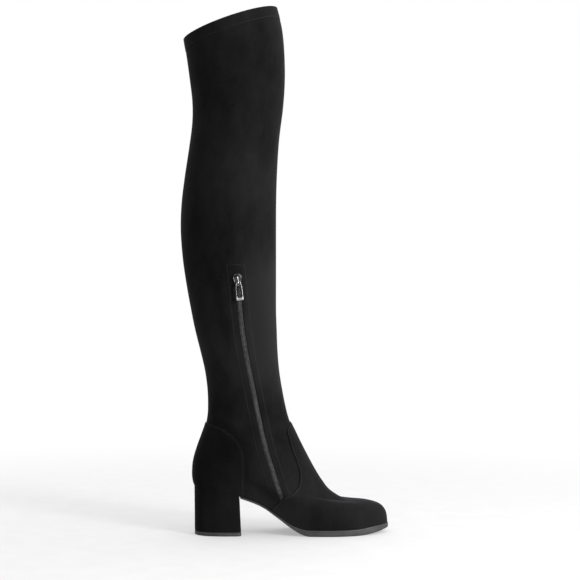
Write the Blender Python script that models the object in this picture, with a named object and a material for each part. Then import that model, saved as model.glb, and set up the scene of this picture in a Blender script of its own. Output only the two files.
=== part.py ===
# Thigh high boot for the left foot, on a block heel, with a zip on its medial side.
# Metres. X runs from heel to toe, Y from the medial side (minus) to the lateral side (plus), Z up.
# The origin is on the floor, under the middle of the heel.

import math
from collections import namedtuple

import bmesh
import bpy
from mathutils import Matrix, Vector

# Foot
FOOT_LENGTH = 0.2433          # feather line of the upper, from the back of the seat to the toe
BALL_WIDTH = 0.0754           # upper at the ball, without the vamp panel
TOE_SWING = 0.0050            # how far the toe lies to the medial side
VAMP_HEIGHT = 0.1415          # top of vamp and counter above the floor

# Shaft, front to back and side to side
ANKLE_DEPTH = 0.1000
ANKLE_WIDTH = 0.0740
CALF_DEPTH = 0.1210
CALF_WIDTH = 0.1060
THIGH_DEPTH = 0.1180
THIGH_WIDTH = 0.1200
SHAFT_HEIGHT = 0.6660         # topline at the front, above the floor
COLLAR_DROP = 0.0403          # how much lower the topline is at the back

# Wall, hem and panels
WALL = 0.0016
HEM_DEPTH = 0.0140
HEM_EXTRA = 0.0012
PANEL_THICKNESS = 0.0010
GAP = 0.0003                  # between pieces that meet
PANEL_GAP = 0.0005            # under the curved panels
INSOLE_THICKNESS = 0.0030
INSOLE_ROOM = 0.0009          # between the insole's edge and the wall

# Sole and heel
SEAT_HEIGHT = 0.0612          # feather line at the back of the heel
SEAT_LENGTH = 0.0551          # from the back of the seat to the heel's breast
SOLE_THICKNESS = 0.0076
SHANK_THICKNESS = 0.0021
SOLE_LEDGE = 0.0008           # how far the sole stands out past the panels
SOLE_BEVEL = 0.0007
TOE_SPRING = 0.0046
HEEL_LENGTH = 0.0585          # on the floor
HEEL_WIDTH = 0.0520           # on the floor
HEEL_TUCK = 0.0005            # how far the heel's back runs in towards the floor
BREAST_HOLLOW = 0.0020
TOP_LIFT_THICKNESS = 0.0048

# Zip
ZIP_TOP = 0.3211              # height of the slider
ZIP_FOOT = 0.0436             # height of the closed lower end
SLOT_WIDTH = 0.0072
SLOT_ABOVE = 0.0040           # slot above the slider's middle
TEETH_WIDTH = 0.0062
TEETH_THICKNESS = 0.0011
TEETH_SUNK = 0.0002           # how deep the teeth lie below the skin
TAPE_WIDTH = 0.0180
TAPE_THICKNESS = 0.0007
TAPE_GAP = 0.0006
TAPE_OVERLAP = 0.0060         # tape past each end of the slot

# Slider and pull
SLIDER_LENGTH = 0.0150
SLIDER_WIDTH = 0.0110
SLIDER_THICKNESS = 0.0018
SLIDER_LIFT = 0.0005          # from the skin to the slider's underside
BAIL_LENGTH = 0.0090
BAIL_WIDTH = 0.0018
BAIL_THICKNESS = 0.0009
PULL_LENGTH = 0.0235
PULL_WIDTH = 0.0088
PULL_NECK = 0.0060
PULL_BAR = 0.0014
PULL_END_BAR = 0.0030
PULL_THICKNESS = 0.0013
METAL_ROUNDING = 0.0003

# Fineness of the faceted forms
COLUMNS = 36
ZIP_STEPS = 30
SEAM_STEPS = 3
SEAM_SPACING = 0.001          # least distance of seam points, as a share of the boot's sizes
HEM_STEP = 0.03               # width of the hem's inner step, in rings
COLUMN_ROOM = 0.0030          # least distance of a column from a cut end
WELD = 0.000005               # points closer than this become one

# Reach of the panels' cutters
CUTTER_OVERLAP = 0.0040       # past the foot's middle plane
CUTTER_MARGIN = 0.2           # past the foot's ends, as a share of its length

# Worked out from the sizes above
PANEL_BUILD = PANEL_GAP + PANEL_THICKNESS
SEAT_BACK = -HEEL_LENGTH / 2 + PANEL_BUILD - HEEL_TUCK
BREAST = SEAT_BACK + SEAT_LENGTH
SOLE_TOP = SOLE_THICKNESS + GAP
HALF = COLUMNS // 2

# Feather line and sole, along the foot. Rise is a share of the seat's height over the ball,
# lift a share of the toe spring, full a share of the sole's thickness over the shank's.
SoleRow = namedtuple("SoleRow", "along rise lift full")
SOLE_LINE = [
    SoleRow(0.000, 1.000, 0.00, 0.00),
    SoleRow(0.086, 0.911, 0.00, 0.00),
    SoleRow(0.178, 0.864, 0.00, 0.00),
    SoleRow(0.229, 0.786, 0.00, 0.00),
    SoleRow(0.309, 0.648, 0.00, 0.00),
    SoleRow(0.356, 0.536, 0.00, 0.03),
    SoleRow(0.396, 0.405, 0.00, 0.07),
    SoleRow(0.438, 0.270, 0.00, 0.14),
    SoleRow(0.473, 0.160, 0.00, 0.26),
    SoleRow(0.508, 0.078, 0.00, 0.50),
    SoleRow(0.541, 0.027, 0.00, 0.80),
    SoleRow(0.585, 0.000, 0.00, 1.00),
    SoleRow(0.800, 0.000, 0.00, 1.00),
    SoleRow(0.860, 0.000, 0.22, 1.08),
    SoleRow(0.920, 0.000, 0.60, 1.10),
    SoleRow(1.000, 0.000, 0.90, 0.62),
]

# The foot seen from above: fullness of each side against an ellipse as wide as the ball.
PlanRow = namedtuple("PlanRow", "along medial lateral")
PLAN = [
    PlanRow(0.000, 1.45, 1.45),
    PlanRow(0.050, 1.25, 1.25),
    PlanRow(0.100, 1.10, 1.10),
    PlanRow(0.163, 0.97, 0.97),
    PlanRow(0.244, 0.83, 0.85),
    PlanRow(0.346, 0.71, 0.79),
    PlanRow(0.447, 0.72, 0.81),
    PlanRow(0.569, 0.88, 0.98),
    PlanRow(0.650, 0.99, 1.08),
    PlanRow(0.711, 1.06, 1.15),
    PlanRow(0.793, 1.11, 1.21),
    PlanRow(0.874, 1.12, 1.24),
    PlanRow(0.935, 1.08, 1.23),
    PlanRow(1.000, 1.05, 1.20),
]

# Sections of the upper, from the feather line to the topline. Each ring runs from a point on the
# front line to a point on the back line. X and the half widths are shares of the named part's
# depth and width. Z is a share of the way up: to the vamp's top on the foot, from there to the
# topline on the shaft. The ovals say how far the ring's front and back have turned from the
# foot's plan into an oval, and dip how far it still follows the arch of the feather line.
Ring = namedtuple("Ring", "part front_x front_z back_x back_z medial lateral "
                          "front_oval back_oval dip")
RINGS = [
    Ring("foot", 1.0000, 0.000, 0.0000, 0.000, 0.486, 0.500, 0.00, 0.00, 1.00),
    Ring("foot", 0.9988, 0.033, -0.0049, 0.039, 0.486, 0.500, 0.00, 0.00, 0.94),
    Ring("foot", 0.9955, 0.079, -0.0086, 0.076, 0.486, 0.500, 0.05, 0.00, 0.87),
    Ring("foot", 0.9864, 0.126, -0.0107, 0.122, 0.486, 0.500, 0.20, 0.03, 0.76),
    Ring("foot", 0.9622, 0.172, -0.0123, 0.172, 0.486, 0.500, 0.45, 0.08, 0.63),
    Ring("foot", 0.9162, 0.201, -0.0123, 0.229, 0.486, 0.500, 0.72, 0.15, 0.49),
    Ring("foot", 0.8631, 0.214, -0.0115, 0.284, 0.480, 0.493, 0.92, 0.24, 0.34),
    Ring("foot", 0.7781, 0.226, -0.0099, 0.346, 0.473, 0.486, 1.00, 0.34, 0.15),
    Ring("foot", 0.6996, 0.314, -0.0058, 0.415, 0.466, 0.480, 1.00, 0.45, 0.05),
    Ring("foot", 0.6548, 0.418, 0.0008, 0.496, 0.460, 0.473, 1.00, 0.56, 0.00),
    Ring("foot", 0.6215, 0.518, 0.0099, 0.583, 0.460, 0.473, 1.00, 0.67, 0.00),
    Ring("foot", 0.5927, 0.616, 0.0197, 0.670, 0.462, 0.476, 1.00, 0.77, 0.00),
    Ring("foot", 0.5656, 0.714, 0.0312, 0.763, 0.470, 0.484, 1.00, 0.86, 0.00),
    Ring("foot", 0.5397, 0.811, 0.0427, 0.859, 0.478, 0.489, 1.00, 0.93, 0.00),
    Ring("foot", 0.5146, 0.910, 0.0522, 0.940, 0.486, 0.496, 1.00, 0.98, 0.00),
    Ring("foot", 0.4920, 1.000, 0.0567, 1.000, 0.493, 0.500, 1.00, 1.00, 0.00),
    Ring("ankle", 0.872, 0.0273, -0.126, 0.0300, 0.500, 0.504, 1.00, 1.00, 0.00),
    Ring("ankle", 0.820, 0.0753, -0.130, 0.0816, 0.509, 0.509, 1.00, 1.00, 0.00),
    Ring("ankle", 0.780, 0.1241, -0.163, 0.1345, 0.527, 0.527, 1.00, 1.00, 0.00),
    Ring("calf", 0.627, 0.1725, -0.183, 0.1869, 0.390, 0.388, 1.00, 1.00, 0.00),
    Ring("calf", 0.619, 0.2202, -0.235, 0.2385, 0.413, 0.408, 1.00, 1.00, 0.00),
    Ring("calf", 0.612, 0.2698, -0.279, 0.2922, 0.438, 0.430, 1.00, 1.00, 0.00),
    Ring("calf", 0.6116, 0.3365, -0.331, 0.3645, 0.466, 0.455, 1.00, 1.00, 0.00),
    Ring("calf", 0.6116, 0.3975, -0.368, 0.4306, 0.490, 0.478, 1.00, 1.00, 0.00),
    Ring("calf", 0.6116, 0.4643, -0.388, 0.5008, 0.504, 0.494, 1.00, 1.00, 0.00),
    Ring("calf", 0.613, 0.5310, -0.380, 0.5690, 0.504, 0.500, 1.00, 1.00, 0.00),
    Ring("calf", 0.622, 0.6034, -0.347, 0.6392, 0.498, 0.498, 1.00, 1.00, 0.00),
    Ring("thigh", 0.661, 0.6835, -0.309, 0.7156, 0.443, 0.440, 1.00, 1.00, 0.00),
    Ring("thigh", 0.703, 0.7598, -0.275, 0.7817, 0.452, 0.450, 1.00, 1.00, 0.00),
    Ring("thigh", 0.722, 0.8265, -0.274, 0.8375, 0.468, 0.467, 1.00, 1.00, 0.00),
    Ring("thigh", 0.716, 0.8932, -0.301, 0.8953, 0.484, 0.483, 1.00, 1.00, 0.00),
    Ring("thigh", 0.691, 0.9504, -0.331, 0.9490, 0.495, 0.495, 1.00, 1.00, 0.00),
    Ring("thigh", 0.636, 1.0000, -0.365, 1.0000, 0.500, 0.500, 1.00, 1.00, 0.00),
]
TOP_LEVEL = len(RINGS) - 1
PANEL_TOP_LEVEL = 16          # ring just above the vamp's top
TOE_HALF_STEPS = (4, 5, 6, 7)  # rings after which a half step keeps the toe round

# Where the zip runs on the medial side: share of the way down from the slider to the lower end,
# and forward from the back of the seat, as a share of the foot's length.
ZipRow = namedtuple("ZipRow", "along forward")
ZIP_ROUTE = [
    ZipRow(0.000, 0.2067),
    ZipRow(0.253, 0.2388),
    ZipRow(0.375, 0.2635),
    ZipRow(0.501, 0.2926),
    ZipRow(0.625, 0.3214),
    ZipRow(0.750, 0.3543),
    ZipRow(0.873, 0.3966),
    ZipRow(1.000, 0.4430),
]

# Seam lines of the panels from the side: share of the foot's length, share of the vamp's height.
# A line with two runs has a sharp corner where they meet.
COUNTER_MEDIAL = [[
    (0.057, 0.997), (0.124, 0.961), (0.171, 0.917), (0.204, 0.862), (0.227, 0.799),
    (0.242, 0.732), (0.247, 0.622), (0.247, 0.495), (0.247, 0.353), (0.247, 0.155),
]]
COUNTER_LATERAL = [
    [(0.057, 0.997), (0.092, 0.926), (0.160, 0.806), (0.198, 0.671), (0.252, 0.590),
     (0.318, 0.530), (0.371, 0.495), (0.441, 0.417), (0.482, 0.339)],
    [(0.482, 0.339), (0.385, 0.230), (0.319, 0.155)],
]
VAMP_MEDIAL = [[
    (0.494, 0.997), (0.471, 0.930), (0.480, 0.866), (0.497, 0.756), (0.519, 0.661),
    (0.535, 0.551), (0.529, 0.459), (0.501, 0.396), (0.452, 0.348), (0.418, 0.290),
    (0.388, 0.233), (0.342, 0.155),
]]
VAMP_LATERAL = [
    [(0.494, 0.997), (0.462, 0.926), (0.445, 0.855), (0.449, 0.791), (0.462, 0.721),
     (0.487, 0.594), (0.497, 0.509), (0.498, 0.431), (0.487, 0.332)],
    [(0.487, 0.332), (0.390, 0.230), (0.324, 0.155)],
]
COUNTER_FOOT_X = SEAT_BACK + FOOT_LENGTH * COUNTER_MEDIAL[0][-1][0]
VAMP_FOOT_X = SEAT_BACK + FOOT_LENGTH * VAMP_MEDIAL[0][-1][0]


def lerp(low, high, share):
    return low + (high - low) * share


def ease(share):
    share = min(max(share, 0.0), 1.0)
    return share * share * (3 - 2 * share)


def between_rows(rows, place):
    # Smooth values at a place between evenly counted rows of numbers.
    low = min(max(int(place), 0), len(rows) - 2)
    t = place - low
    here, there = rows[low], rows[low + 1]
    before = rows[low - 1] if low > 0 else [2 * a - b for a, b in zip(here, there)]
    after = rows[low + 2] if low + 2 < len(rows) else [2 * b - a for a, b in zip(here, there)]
    weights = (-t / 2 + t * t - t ** 3 / 2, 1 - 2.5 * t * t + 1.5 * t ** 3,
               t / 2 + 2 * t * t - 1.5 * t ** 3, (t ** 3 - t * t) / 2)
    return [sum(w * v for w, v in zip(weights, values))
            for values in zip(before, here, there, after)]


def along_rows(rows, column, along):
    # A smooth value of one column at a share of the way; equal neighbours stay level.
    low = 0
    while low < len(rows) - 2 and rows[low + 1].along < along:
        low += 1
    first, last = rows[low], rows[low + 1]
    step = last.along - first.along
    t = (along - first.along) / step
    if t < 0 or t > 1:
        return lerp(getattr(first, column), getattr(last, column), t)

    def slope(index):
        near = [(getattr(rows[i + 1], column) - getattr(rows[i], column))
                / (rows[i + 1].along - rows[i].along)
                for i in (index - 1, index) if 0 <= i < len(rows) - 1]
        return 0.0 if 0.0 in near else sum(near) / len(near)

    start, end = getattr(first, column), getattr(last, column)
    return (start * (1 + 2 * t) * (1 - t) ** 2 + end * t * t * (3 - 2 * t)
            + step * t * (1 - t) * (slope(low) * (1 - t) - slope(low + 1) * t))


def feather_height(along):
    rise = along_rows(SOLE_LINE, "rise", along) * (SEAT_HEIGHT - SOLE_TOP)
    return SOLE_TOP + rise + along_rows(SOLE_LINE, "lift", along) * TOE_SPRING


def sole_thickness(along):
    full = along_rows(SOLE_LINE, "full", along)
    return lerp(SHANK_THICKNESS, SOLE_THICKNESS, full)


TOE_HEIGHT = feather_height(1.0)
PART_SIZES = {
    "foot": (SEAT_BACK, FOOT_LENGTH, ANKLE_WIDTH),
    "ankle": (0.0, ANKLE_DEPTH, ANKLE_WIDTH),
    "calf": (0.0, CALF_DEPTH, CALF_WIDTH),
    "thigh": (0.0, THIGH_DEPTH, THIGH_WIDTH),
}


def real_ring(ring):
    start, depth, width = PART_SIZES[ring.part]
    if ring.part == "foot":
        front_z = lerp(TOE_HEIGHT, VAMP_HEIGHT, ring.front_z)
        back_z = lerp(SEAT_HEIGHT, VAMP_HEIGHT, ring.back_z)
    else:
        front_z = lerp(VAMP_HEIGHT, SHAFT_HEIGHT, ring.front_z)
        back_z = lerp(VAMP_HEIGHT, SHAFT_HEIGHT - COLLAR_DROP, ring.back_z)
    return [start + ring.front_x * depth, front_z, start + ring.back_x * depth, back_z,
            ring.medial * width, ring.lateral * width,
            ring.front_oval, ring.back_oval, ring.dip]


REAL_RINGS = [real_ring(ring) for ring in RINGS]


def skin_base(angle, level):
    # The upper's outer surface: the angle runs from the back over the medial side to the front.
    (front_x, front_z, back_x, back_z, medial, lateral,
     front_oval, back_oval, dip) = between_rows(REAL_RINGS, level)
    across = (1 - math.cos(angle)) / 2
    is_medial = math.sin(angle) >= 0
    plan = along_rows(PLAN, "medial" if is_medial else "lateral", across) * BALL_WIDTH / 2
    oval = medial if is_medial else lateral
    turned = lerp(back_oval, front_oval, ease((across - 0.25) / 0.4))
    half_width = lerp(plan, oval, turned)
    arch = feather_height(across) - lerp(SEAT_HEIGHT, TOE_HEIGHT, across)
    x = lerp(back_x, front_x, across)
    y = -math.sin(angle) * half_width - TOE_SWING * ((x - SEAT_BACK) / FOOT_LENGTH) ** 2
    return Vector((x, y, lerp(back_z, front_z, across) + dip * arch))


def skin_slopes(angle, level):
    turn, rise = 0.01, 0.02
    low, high = max(level - rise, 0.0), min(level + rise, TOP_LEVEL)
    around = (skin_base(angle + turn, level) - skin_base(angle - turn, level)) / (2 * turn)
    upward = (skin_base(angle, high) - skin_base(angle, low)) / (high - low)
    return around, upward


def skin(angle, level, offset=0.0):
    point = skin_base(angle, level)
    if offset:
        around, upward = skin_slopes(angle, level)
        point += around.cross(upward).normalized() * offset
    return point


def column_angle(index):
    return 2 * math.pi * index / COLUMNS


def new_object(name, mesh, finish):
    piece = bpy.data.objects.new(name, mesh)
    bpy.context.scene.collection.objects.link(piece)
    if finish:
        mesh.materials.append(finish)
    return piece


def mesh_piece(name, points, faces, finish, crease=35):
    mesh = bpy.data.meshes.new(name)
    work = bmesh.new()
    made = [work.verts.new(point) for point in points]
    for face in faces:
        work.faces.new([made[i] for i in face])
    bmesh.ops.remove_doubles(work, verts=work.verts, dist=WELD)
    bmesh.ops.recalc_face_normals(work, faces=work.faces)
    if work.calc_volume(signed=True) < 0:
        bmesh.ops.reverse_faces(work, faces=work.faces)
    work.to_mesh(mesh)
    work.free()
    mesh.shade_smooth()
    mesh.set_sharp_from_angle(angle=math.radians(crease))
    return new_object(name, mesh, finish)


def sleeve(name, levels, outer, inner, finish):
    # A closed wall around the leg: two offsets of the skin, joined at both ends.
    # The offsets are functions of the level.
    points = []
    for offset in (outer, inner):
        for level in levels:
            for index in range(COLUMNS):
                point = skin(column_angle(index), level, offset(level))
                if level == 0:
                    point.z = skin_base(column_angle(index), 0).z
                points.append(point)
    size = len(levels) * COLUMNS
    faces = []
    for row in range(len(levels) - 1):
        for index in range(COLUMNS):
            beside = (index + 1) % COLUMNS
            a, b = row * COLUMNS + index, row * COLUMNS + beside
            c, d = b + COLUMNS, a + COLUMNS
            faces.append((a, b, c, d))
            faces.append((size + d, size + c, size + b, size + a))
    for row in (0, len(levels) - 1):
        for index in range(COLUMNS):
            beside = (index + 1) % COLUMNS
            a, b = row * COLUMNS + index, row * COLUMNS + beside
            faces.append((a, b, size + b, size + a))
    return mesh_piece(name, points, faces, finish)


def stack(name, layers, finish, crease=35):
    # A solid from grids of points laid over each other: the first and last are its faces,
    # and the edges of all of them make its sides.
    rows, across = len(layers[0]), len(layers[0][0])
    size = rows * across
    points = [point for layer in layers for row in layer for point in row]
    last = size * (len(layers) - 1)
    faces = []
    for row in range(rows - 1):
        for column in range(across - 1):
            a = row * across + column
            quad = (a, a + 1, a + across + 1, a + across)
            faces.append(quad)
            faces.append(tuple(last + i for i in reversed(quad)))
    edge = [column for column in range(across)]
    edge += [row * across + across - 1 for row in range(1, rows)]
    edge += [(rows - 1) * across + column for column in range(across - 2, -1, -1)]
    edge += [row * across for row in range(rows - 2, 0, -1)]
    for layer in range(len(layers) - 1):
        base = size * layer
        for here, there in zip(edge, edge[1:] + edge[:1]):
            faces.append((base + here, base + there, base + size + there, base + size + here))
    return mesh_piece(name, points, faces, finish, crease)


def cut(piece, cutter, operation="DIFFERENCE"):
    cutter.hide_render = True
    cutter.display_type = "WIRE"
    change = piece.modifiers.new(cutter.name, "BOOLEAN")
    change.operation = operation
    change.solver = "EXACT"
    change.object = cutter


def material(name, colour, roughness, metallic=0.0):
    made = bpy.data.materials.new(name)
    made.use_nodes = True
    shader = made.node_tree.nodes["Principled BSDF"]
    shader.inputs["Base Color"].default_value = (*colour, 1.0)
    shader.inputs["Roughness"].default_value = roughness
    shader.inputs["Metallic"].default_value = metallic
    return made


def foot_levels():
    levels = []
    for level in range(PANEL_TOP_LEVEL + 1):
        levels.append(level)
        if level in TOE_HALF_STEPS:
            levels.append(level + 0.5)
    return levels


def make_upper(suede):
    fronts = [skin_base(math.pi, level) for level in (TOP_LEVEL - 1, TOP_LEVEL)]
    hem_start = TOP_LEVEL - HEM_DEPTH / (fronts[1] - fronts[0]).length
    levels = foot_levels() + list(range(PANEL_TOP_LEVEL + 1, TOP_LEVEL))
    levels = [level for level in levels if level < hem_start - 2 * HEM_STEP]
    levels += [hem_start - HEM_STEP, hem_start, TOP_LEVEL]

    def inner(level):
        return -WALL - HEM_EXTRA if level >= hem_start else -WALL

    upper = sleeve("upper", levels, lambda level: 0.0, inner, suede)
    heights = zip_heights(ZIP_FOOT, ZIP_TOP + SLOT_ABOVE)
    slot = zip_strip("zip_slot_cutter", heights, SLOT_WIDTH, WALL, -WALL * 2, None)
    cut(upper, slot)
    return upper


def seam_points(runs):
    # A smooth line through each run's points, in the side view.
    line = []
    for run in runs:
        for index in range(len(run) - 1):
            for step in range(SEAM_STEPS):
                line.append(between_rows(run, index + step / SEAM_STEPS))
        line.append(run[-1])
    kept = [line[0]]
    for point in line[1:]:
        if math.dist(point, kept[-1]) > SEAM_SPACING:
            kept.append(point)
    return [(SEAT_BACK + x * FOOT_LENGTH, z * VAMP_HEIGHT) for x, z in kept]


def seam_cutter(name, runs, corners, near, far):
    # Everything on one side of a seam line, between two planes across the boot.
    outline = seam_points(runs) + corners
    points = [(x, y, z) for y in (near, far) for x, z in outline]
    count = len(outline)
    faces = [tuple(range(count)), tuple(reversed(range(count, 2 * count)))]
    for index in range(count):
        beside = (index + 1) % count
        faces.append((index, beside, count + beside, count + index))
    return mesh_piece(name, points, faces, None)


def make_panel(name, medial, lateral, corners, suede):
    levels = foot_levels()
    panel = sleeve(name, levels, lambda level: PANEL_BUILD, lambda level: PANEL_GAP, suede)
    beside = BALL_WIDTH
    cut(panel, seam_cutter(name + "_medial_cutter", medial, corners, -beside, 0.0))
    cut(panel, seam_cutter(name + "_lateral_cutter", lateral, corners, -CUTTER_OVERLAP, beside))
    return panel


def make_panels(suede):
    ahead = SEAT_BACK + FOOT_LENGTH * (1 + CUTTER_MARGIN)
    behind = SEAT_BACK - FOOT_LENGTH * CUTTER_MARGIN
    above = VAMP_HEIGHT + BALL_WIDTH
    below = -SEAT_HEIGHT / 2
    seam_top = VAMP_HEIGHT * COUNTER_MEDIAL[0][0][1]
    counter_corners = [(COUNTER_FOOT_X, below), (ahead, below), (ahead, above),
                       (behind, above), (behind, seam_top)]
    vamp_corners = [(VAMP_FOOT_X, below), (behind, below), (behind, above),
                    (ahead, above), (ahead, seam_top)]
    make_panel("counter", COUNTER_MEDIAL, COUNTER_LATERAL, counter_corners, suede)
    make_panel("vamp", VAMP_MEDIAL, VAMP_LATERAL, vamp_corners, suede)


def height_on_rim(x):
    # Height of the upper's lower edge, straight between its columns.
    rim = [skin_base(column_angle(index), 0) for index in range(HALF + 1)]
    if x <= rim[0].x:
        return rim[0].z
    for low, high in zip(rim, rim[1:]):
        if x <= high.x:
            return lerp(low.z, high.z, (x - low.x) / (high.x - low.x))
    return rim[-1].z


def share_along(x):
    return min(max((x - SEAT_BACK) / FOOT_LENGTH, 0.0), 1.0)


def plan_rows(offset, rear=None, front=None):
    # The foot's outline grown by an offset, as rows of (x, medial y, lateral y).
    medial = [skin(column_angle(index), 0, offset) for index in range(HALF + 1)]
    lateral = [skin(-column_angle(index), 0, offset) for index in range(HALF + 1)]
    def side_at(line, x):
        for low, high in zip(line, line[1:]):
            if x <= high.x:
                return lerp(low.y, high.y, (x - low.x) / (high.x - low.x))
        return line[-1].y

    rows = []
    if rear is not None:
        rows.append((rear, side_at(medial, rear), side_at(lateral, rear)))
    for index in range(HALF + 1):
        base = skin_base(column_angle(index), 0).x
        if rear is not None and base < rear + COLUMN_ROOM:
            continue
        if front is not None and base > front - COLUMN_ROOM:
            continue
        x = medial[index].x
        rows.append((x, medial[index].y, side_at(lateral, x)))
    if front is not None:
        rows.append((front, side_at(medial, front), side_at(lateral, front)))
    return rows


def make_insole(lining):
    rows = plan_rows(-WALL - INSOLE_ROOM)
    layers = []
    for thickness in (INSOLE_THICKNESS, 0.0):
        layers.append([[(x, y, height_on_rim(x) + thickness) for y in (medial, lateral)]
                       for x, medial, lateral in rows])
    stack("insole", layers, lining)


def make_outsole(rubber):
    edge = PANEL_BUILD + SOLE_LEDGE
    rear = BREAST + GAP
    profile = (("top", edge - SOLE_BEVEL / 2, 0.0), ("top", edge, SOLE_BEVEL),
               ("bottom", edge, SOLE_BEVEL), ("bottom", edge - SOLE_BEVEL, 0.0))
    layers = []
    for face, offset, bevel in profile:
        layer = []
        for x, medial, lateral in plan_rows(offset, rear=rear):
            top = height_on_rim(x) - GAP
            bottom = top - sole_thickness(share_along(x))
            z = top - bevel if face == "top" else bottom + bevel
            layer.append([(x, medial, z), (x, lateral, z)])
        layers.append(layer)
    stack("outsole", layers, rubber)


def heel_layer(share, height):
    # The heel's outline: the counter's outline at the top, HEEL_LENGTH by HEEL_WIDTH on the floor.
    rows = plan_rows(PANEL_BUILD, front=BREAST)
    back = rows[0][0]
    widest = max(lateral - medial for x, medial, lateral in rows)
    layer = []
    for x, medial, lateral in rows:
        along = (x - back) / (BREAST - back)
        floor_x = back + HEEL_TUCK + along * HEEL_LENGTH
        narrow = lerp(1.0, HEEL_WIDTH / widest, share)
        hollow = BREAST_HOLLOW if x == BREAST else 0.0
        line = []
        for cross in (0.0, 0.25, 0.5, 0.75, 1.0):
            curve = hollow * (1 - (2 * cross - 1) ** 2)
            z = height_on_rim(x) - GAP if height is None else height
            line.append((lerp(x, floor_x, share) - curve, lerp(medial, lateral, cross) * narrow, z))
        layer.append(line)
    return layer


def make_heel(suede, rubber):
    joint = TOP_LIFT_THICKNESS
    drop = SEAT_HEIGHT - joint
    stack("heel_block", [heel_layer(0.0, None), heel_layer(1.0 - joint / drop, joint + GAP)], suede)
    stack("heel_top_lift", [heel_layer(1.0, joint), heel_layer(1.0, 0.0)], rubber)


def zip_heights(low, high):
    return [lerp(low, high, step / ZIP_STEPS) for step in range(ZIP_STEPS + 1)]


def zip_place(height):
    # Angle and level of the zip's middle line at a height.
    along = (ZIP_TOP - height) / (ZIP_TOP - ZIP_FOOT)
    x = SEAT_BACK + along_rows(ZIP_ROUTE, "forward", along) * FOOT_LENGTH
    low, high = 0.0, float(TOP_LEVEL)
    for _ in range(40):
        middle = (low + high) / 2
        back, front = skin_base(0.0, middle).x, skin_base(math.pi, middle).x
        angle = math.acos(1 - 2 * min(max((x - back) / (front - back), 0.0), 1.0))
        if skin_base(angle, middle).z < height:
            low = middle
        else:
            high = middle
    return angle, low


def zip_frame(height):
    # Point on the skin, direction across towards the toe, direction up the zip, and outwards.
    reach = 0.002
    angle, level = zip_place(height)
    up = skin_base(*zip_place(height + reach)) - skin_base(*zip_place(height - reach))
    around, upward = skin_slopes(angle, level)
    out = around.cross(upward).normalized()
    up = (up - out * up.dot(out)).normalized()
    return skin_base(angle, level), up.cross(out), up, out


def zip_strip(name, heights, width, top, bottom, finish):
    # A band along the zip that follows the skin, between two offsets from it.
    layers = []
    for offset in (top, bottom):
        layer = []
        for height in heights:
            angle, level = zip_place(height)
            side = zip_frame(height)[1]
            around, upward = skin_slopes(angle, level)
            aa, au, uu = around.dot(around), around.dot(upward), upward.dot(upward)
            line = []
            for share in (-0.5, 0.0, 0.5):
                move = side * (share * width)
                ma, mu = around.dot(move), upward.dot(move)
                turn = (ma * uu - mu * au) / (aa * uu - au * au)
                rise = (mu * aa - ma * au) / (aa * uu - au * au)
                line.append(skin(angle + turn, level + rise, offset))
            layer.append(line)
        layers.append(layer)
    return stack(name, layers, finish)


def make_zip(weave, coil):
    teeth_top = -TEETH_SUNK
    heights = zip_heights(ZIP_FOOT, ZIP_TOP + SLOT_ABOVE)
    heights[0] += 2 * GAP
    heights[-1] -= 2 * GAP
    zip_strip("zip_teeth", heights, TEETH_WIDTH, teeth_top, teeth_top - TEETH_THICKNESS, coil)
    tape_top = -WALL - TAPE_GAP
    heights = zip_heights(ZIP_FOOT - TAPE_OVERLAP, ZIP_TOP + SLOT_ABOVE + TAPE_OVERLAP)
    zip_strip("zip_tape", heights, TAPE_WIDTH, tape_top, tape_top - TAPE_THICKNESS, weave)


def rounded(piece, width):
    edge = piece.modifiers.new("edges", "BEVEL")
    edge.width = width
    edge.segments = 2
    edge.limit_method = "ANGLE"
    edge.angle_limit = math.radians(40)


def prism(name, outline, low, high, finish, plane="xy"):
    # A flat outline drawn on a plane and extended from low to high along the third axis.
    def place(a, b, c):
        return (a, b, c) if plane == "xy" else (c, a, b)

    count = len(outline)
    points = [place(a, b, c) for c in (low, high) for a, b in outline]
    faces = [tuple(reversed(range(count))), tuple(range(count, 2 * count))]
    for index in range(count):
        beside = (index + 1) % count
        faces.append((index, beside, count + beside, count + index))
    return mesh_piece(name, points, faces, finish)


PULL_SWEEP = math.hypot(PULL_BAR, PULL_THICKNESS) / 2
BAIL_ROOM = 2 * (PULL_SWEEP + GAP) + GAP
HINGE_ALONG = -(BAIL_LENGTH / 2 - BAIL_THICKNESS - PULL_SWEEP - GAP)
HINGE_OUT = SLIDER_LIFT + SLIDER_THICKNESS + BAIL_ROOM / 2


def make_slider(place, metal):
    half_long, half_wide = SLIDER_LENGTH / 2, SLIDER_WIDTH / 2
    right = [(half_wide * 0.66, -half_long), (half_wide * 0.8, -half_long * 0.1),
             (half_wide, half_long * 0.35), (half_wide, half_long * 0.75),
             (half_wide * 0.75, half_long)]
    outline = right + [(-x, y) for x, y in reversed(right)]
    top = SLIDER_LIFT + SLIDER_THICKNESS
    slider = prism("zip_slider", outline, SLIDER_LIFT, top, metal)
    end, crown, slant = BAIL_LENGTH / 2, top + BAIL_ROOM, BAIL_THICKNESS
    sink = SLIDER_THICKNESS / 2
    outer = [(end, top - sink), (end, crown), (end - slant, crown + BAIL_THICKNESS)]
    inner = [(end - BAIL_THICKNESS, top - sink), (end - BAIL_THICKNESS, crown - slant / 2),
             (end - BAIL_THICKNESS - slant / 2, crown)]
    arch = outer + [(-y, z) for y, z in reversed(outer)]
    arch += [(-y, z) for y, z in inner] + list(reversed(inner))
    bail = prism("bail_form", arch, -BAIL_WIDTH / 2, BAIL_WIDTH / 2, None, plane="yz")
    cut(slider, bail, "UNION")
    rounded(slider, METAL_ROUNDING)
    slider.matrix_world = place
    bail.matrix_world = place


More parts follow.
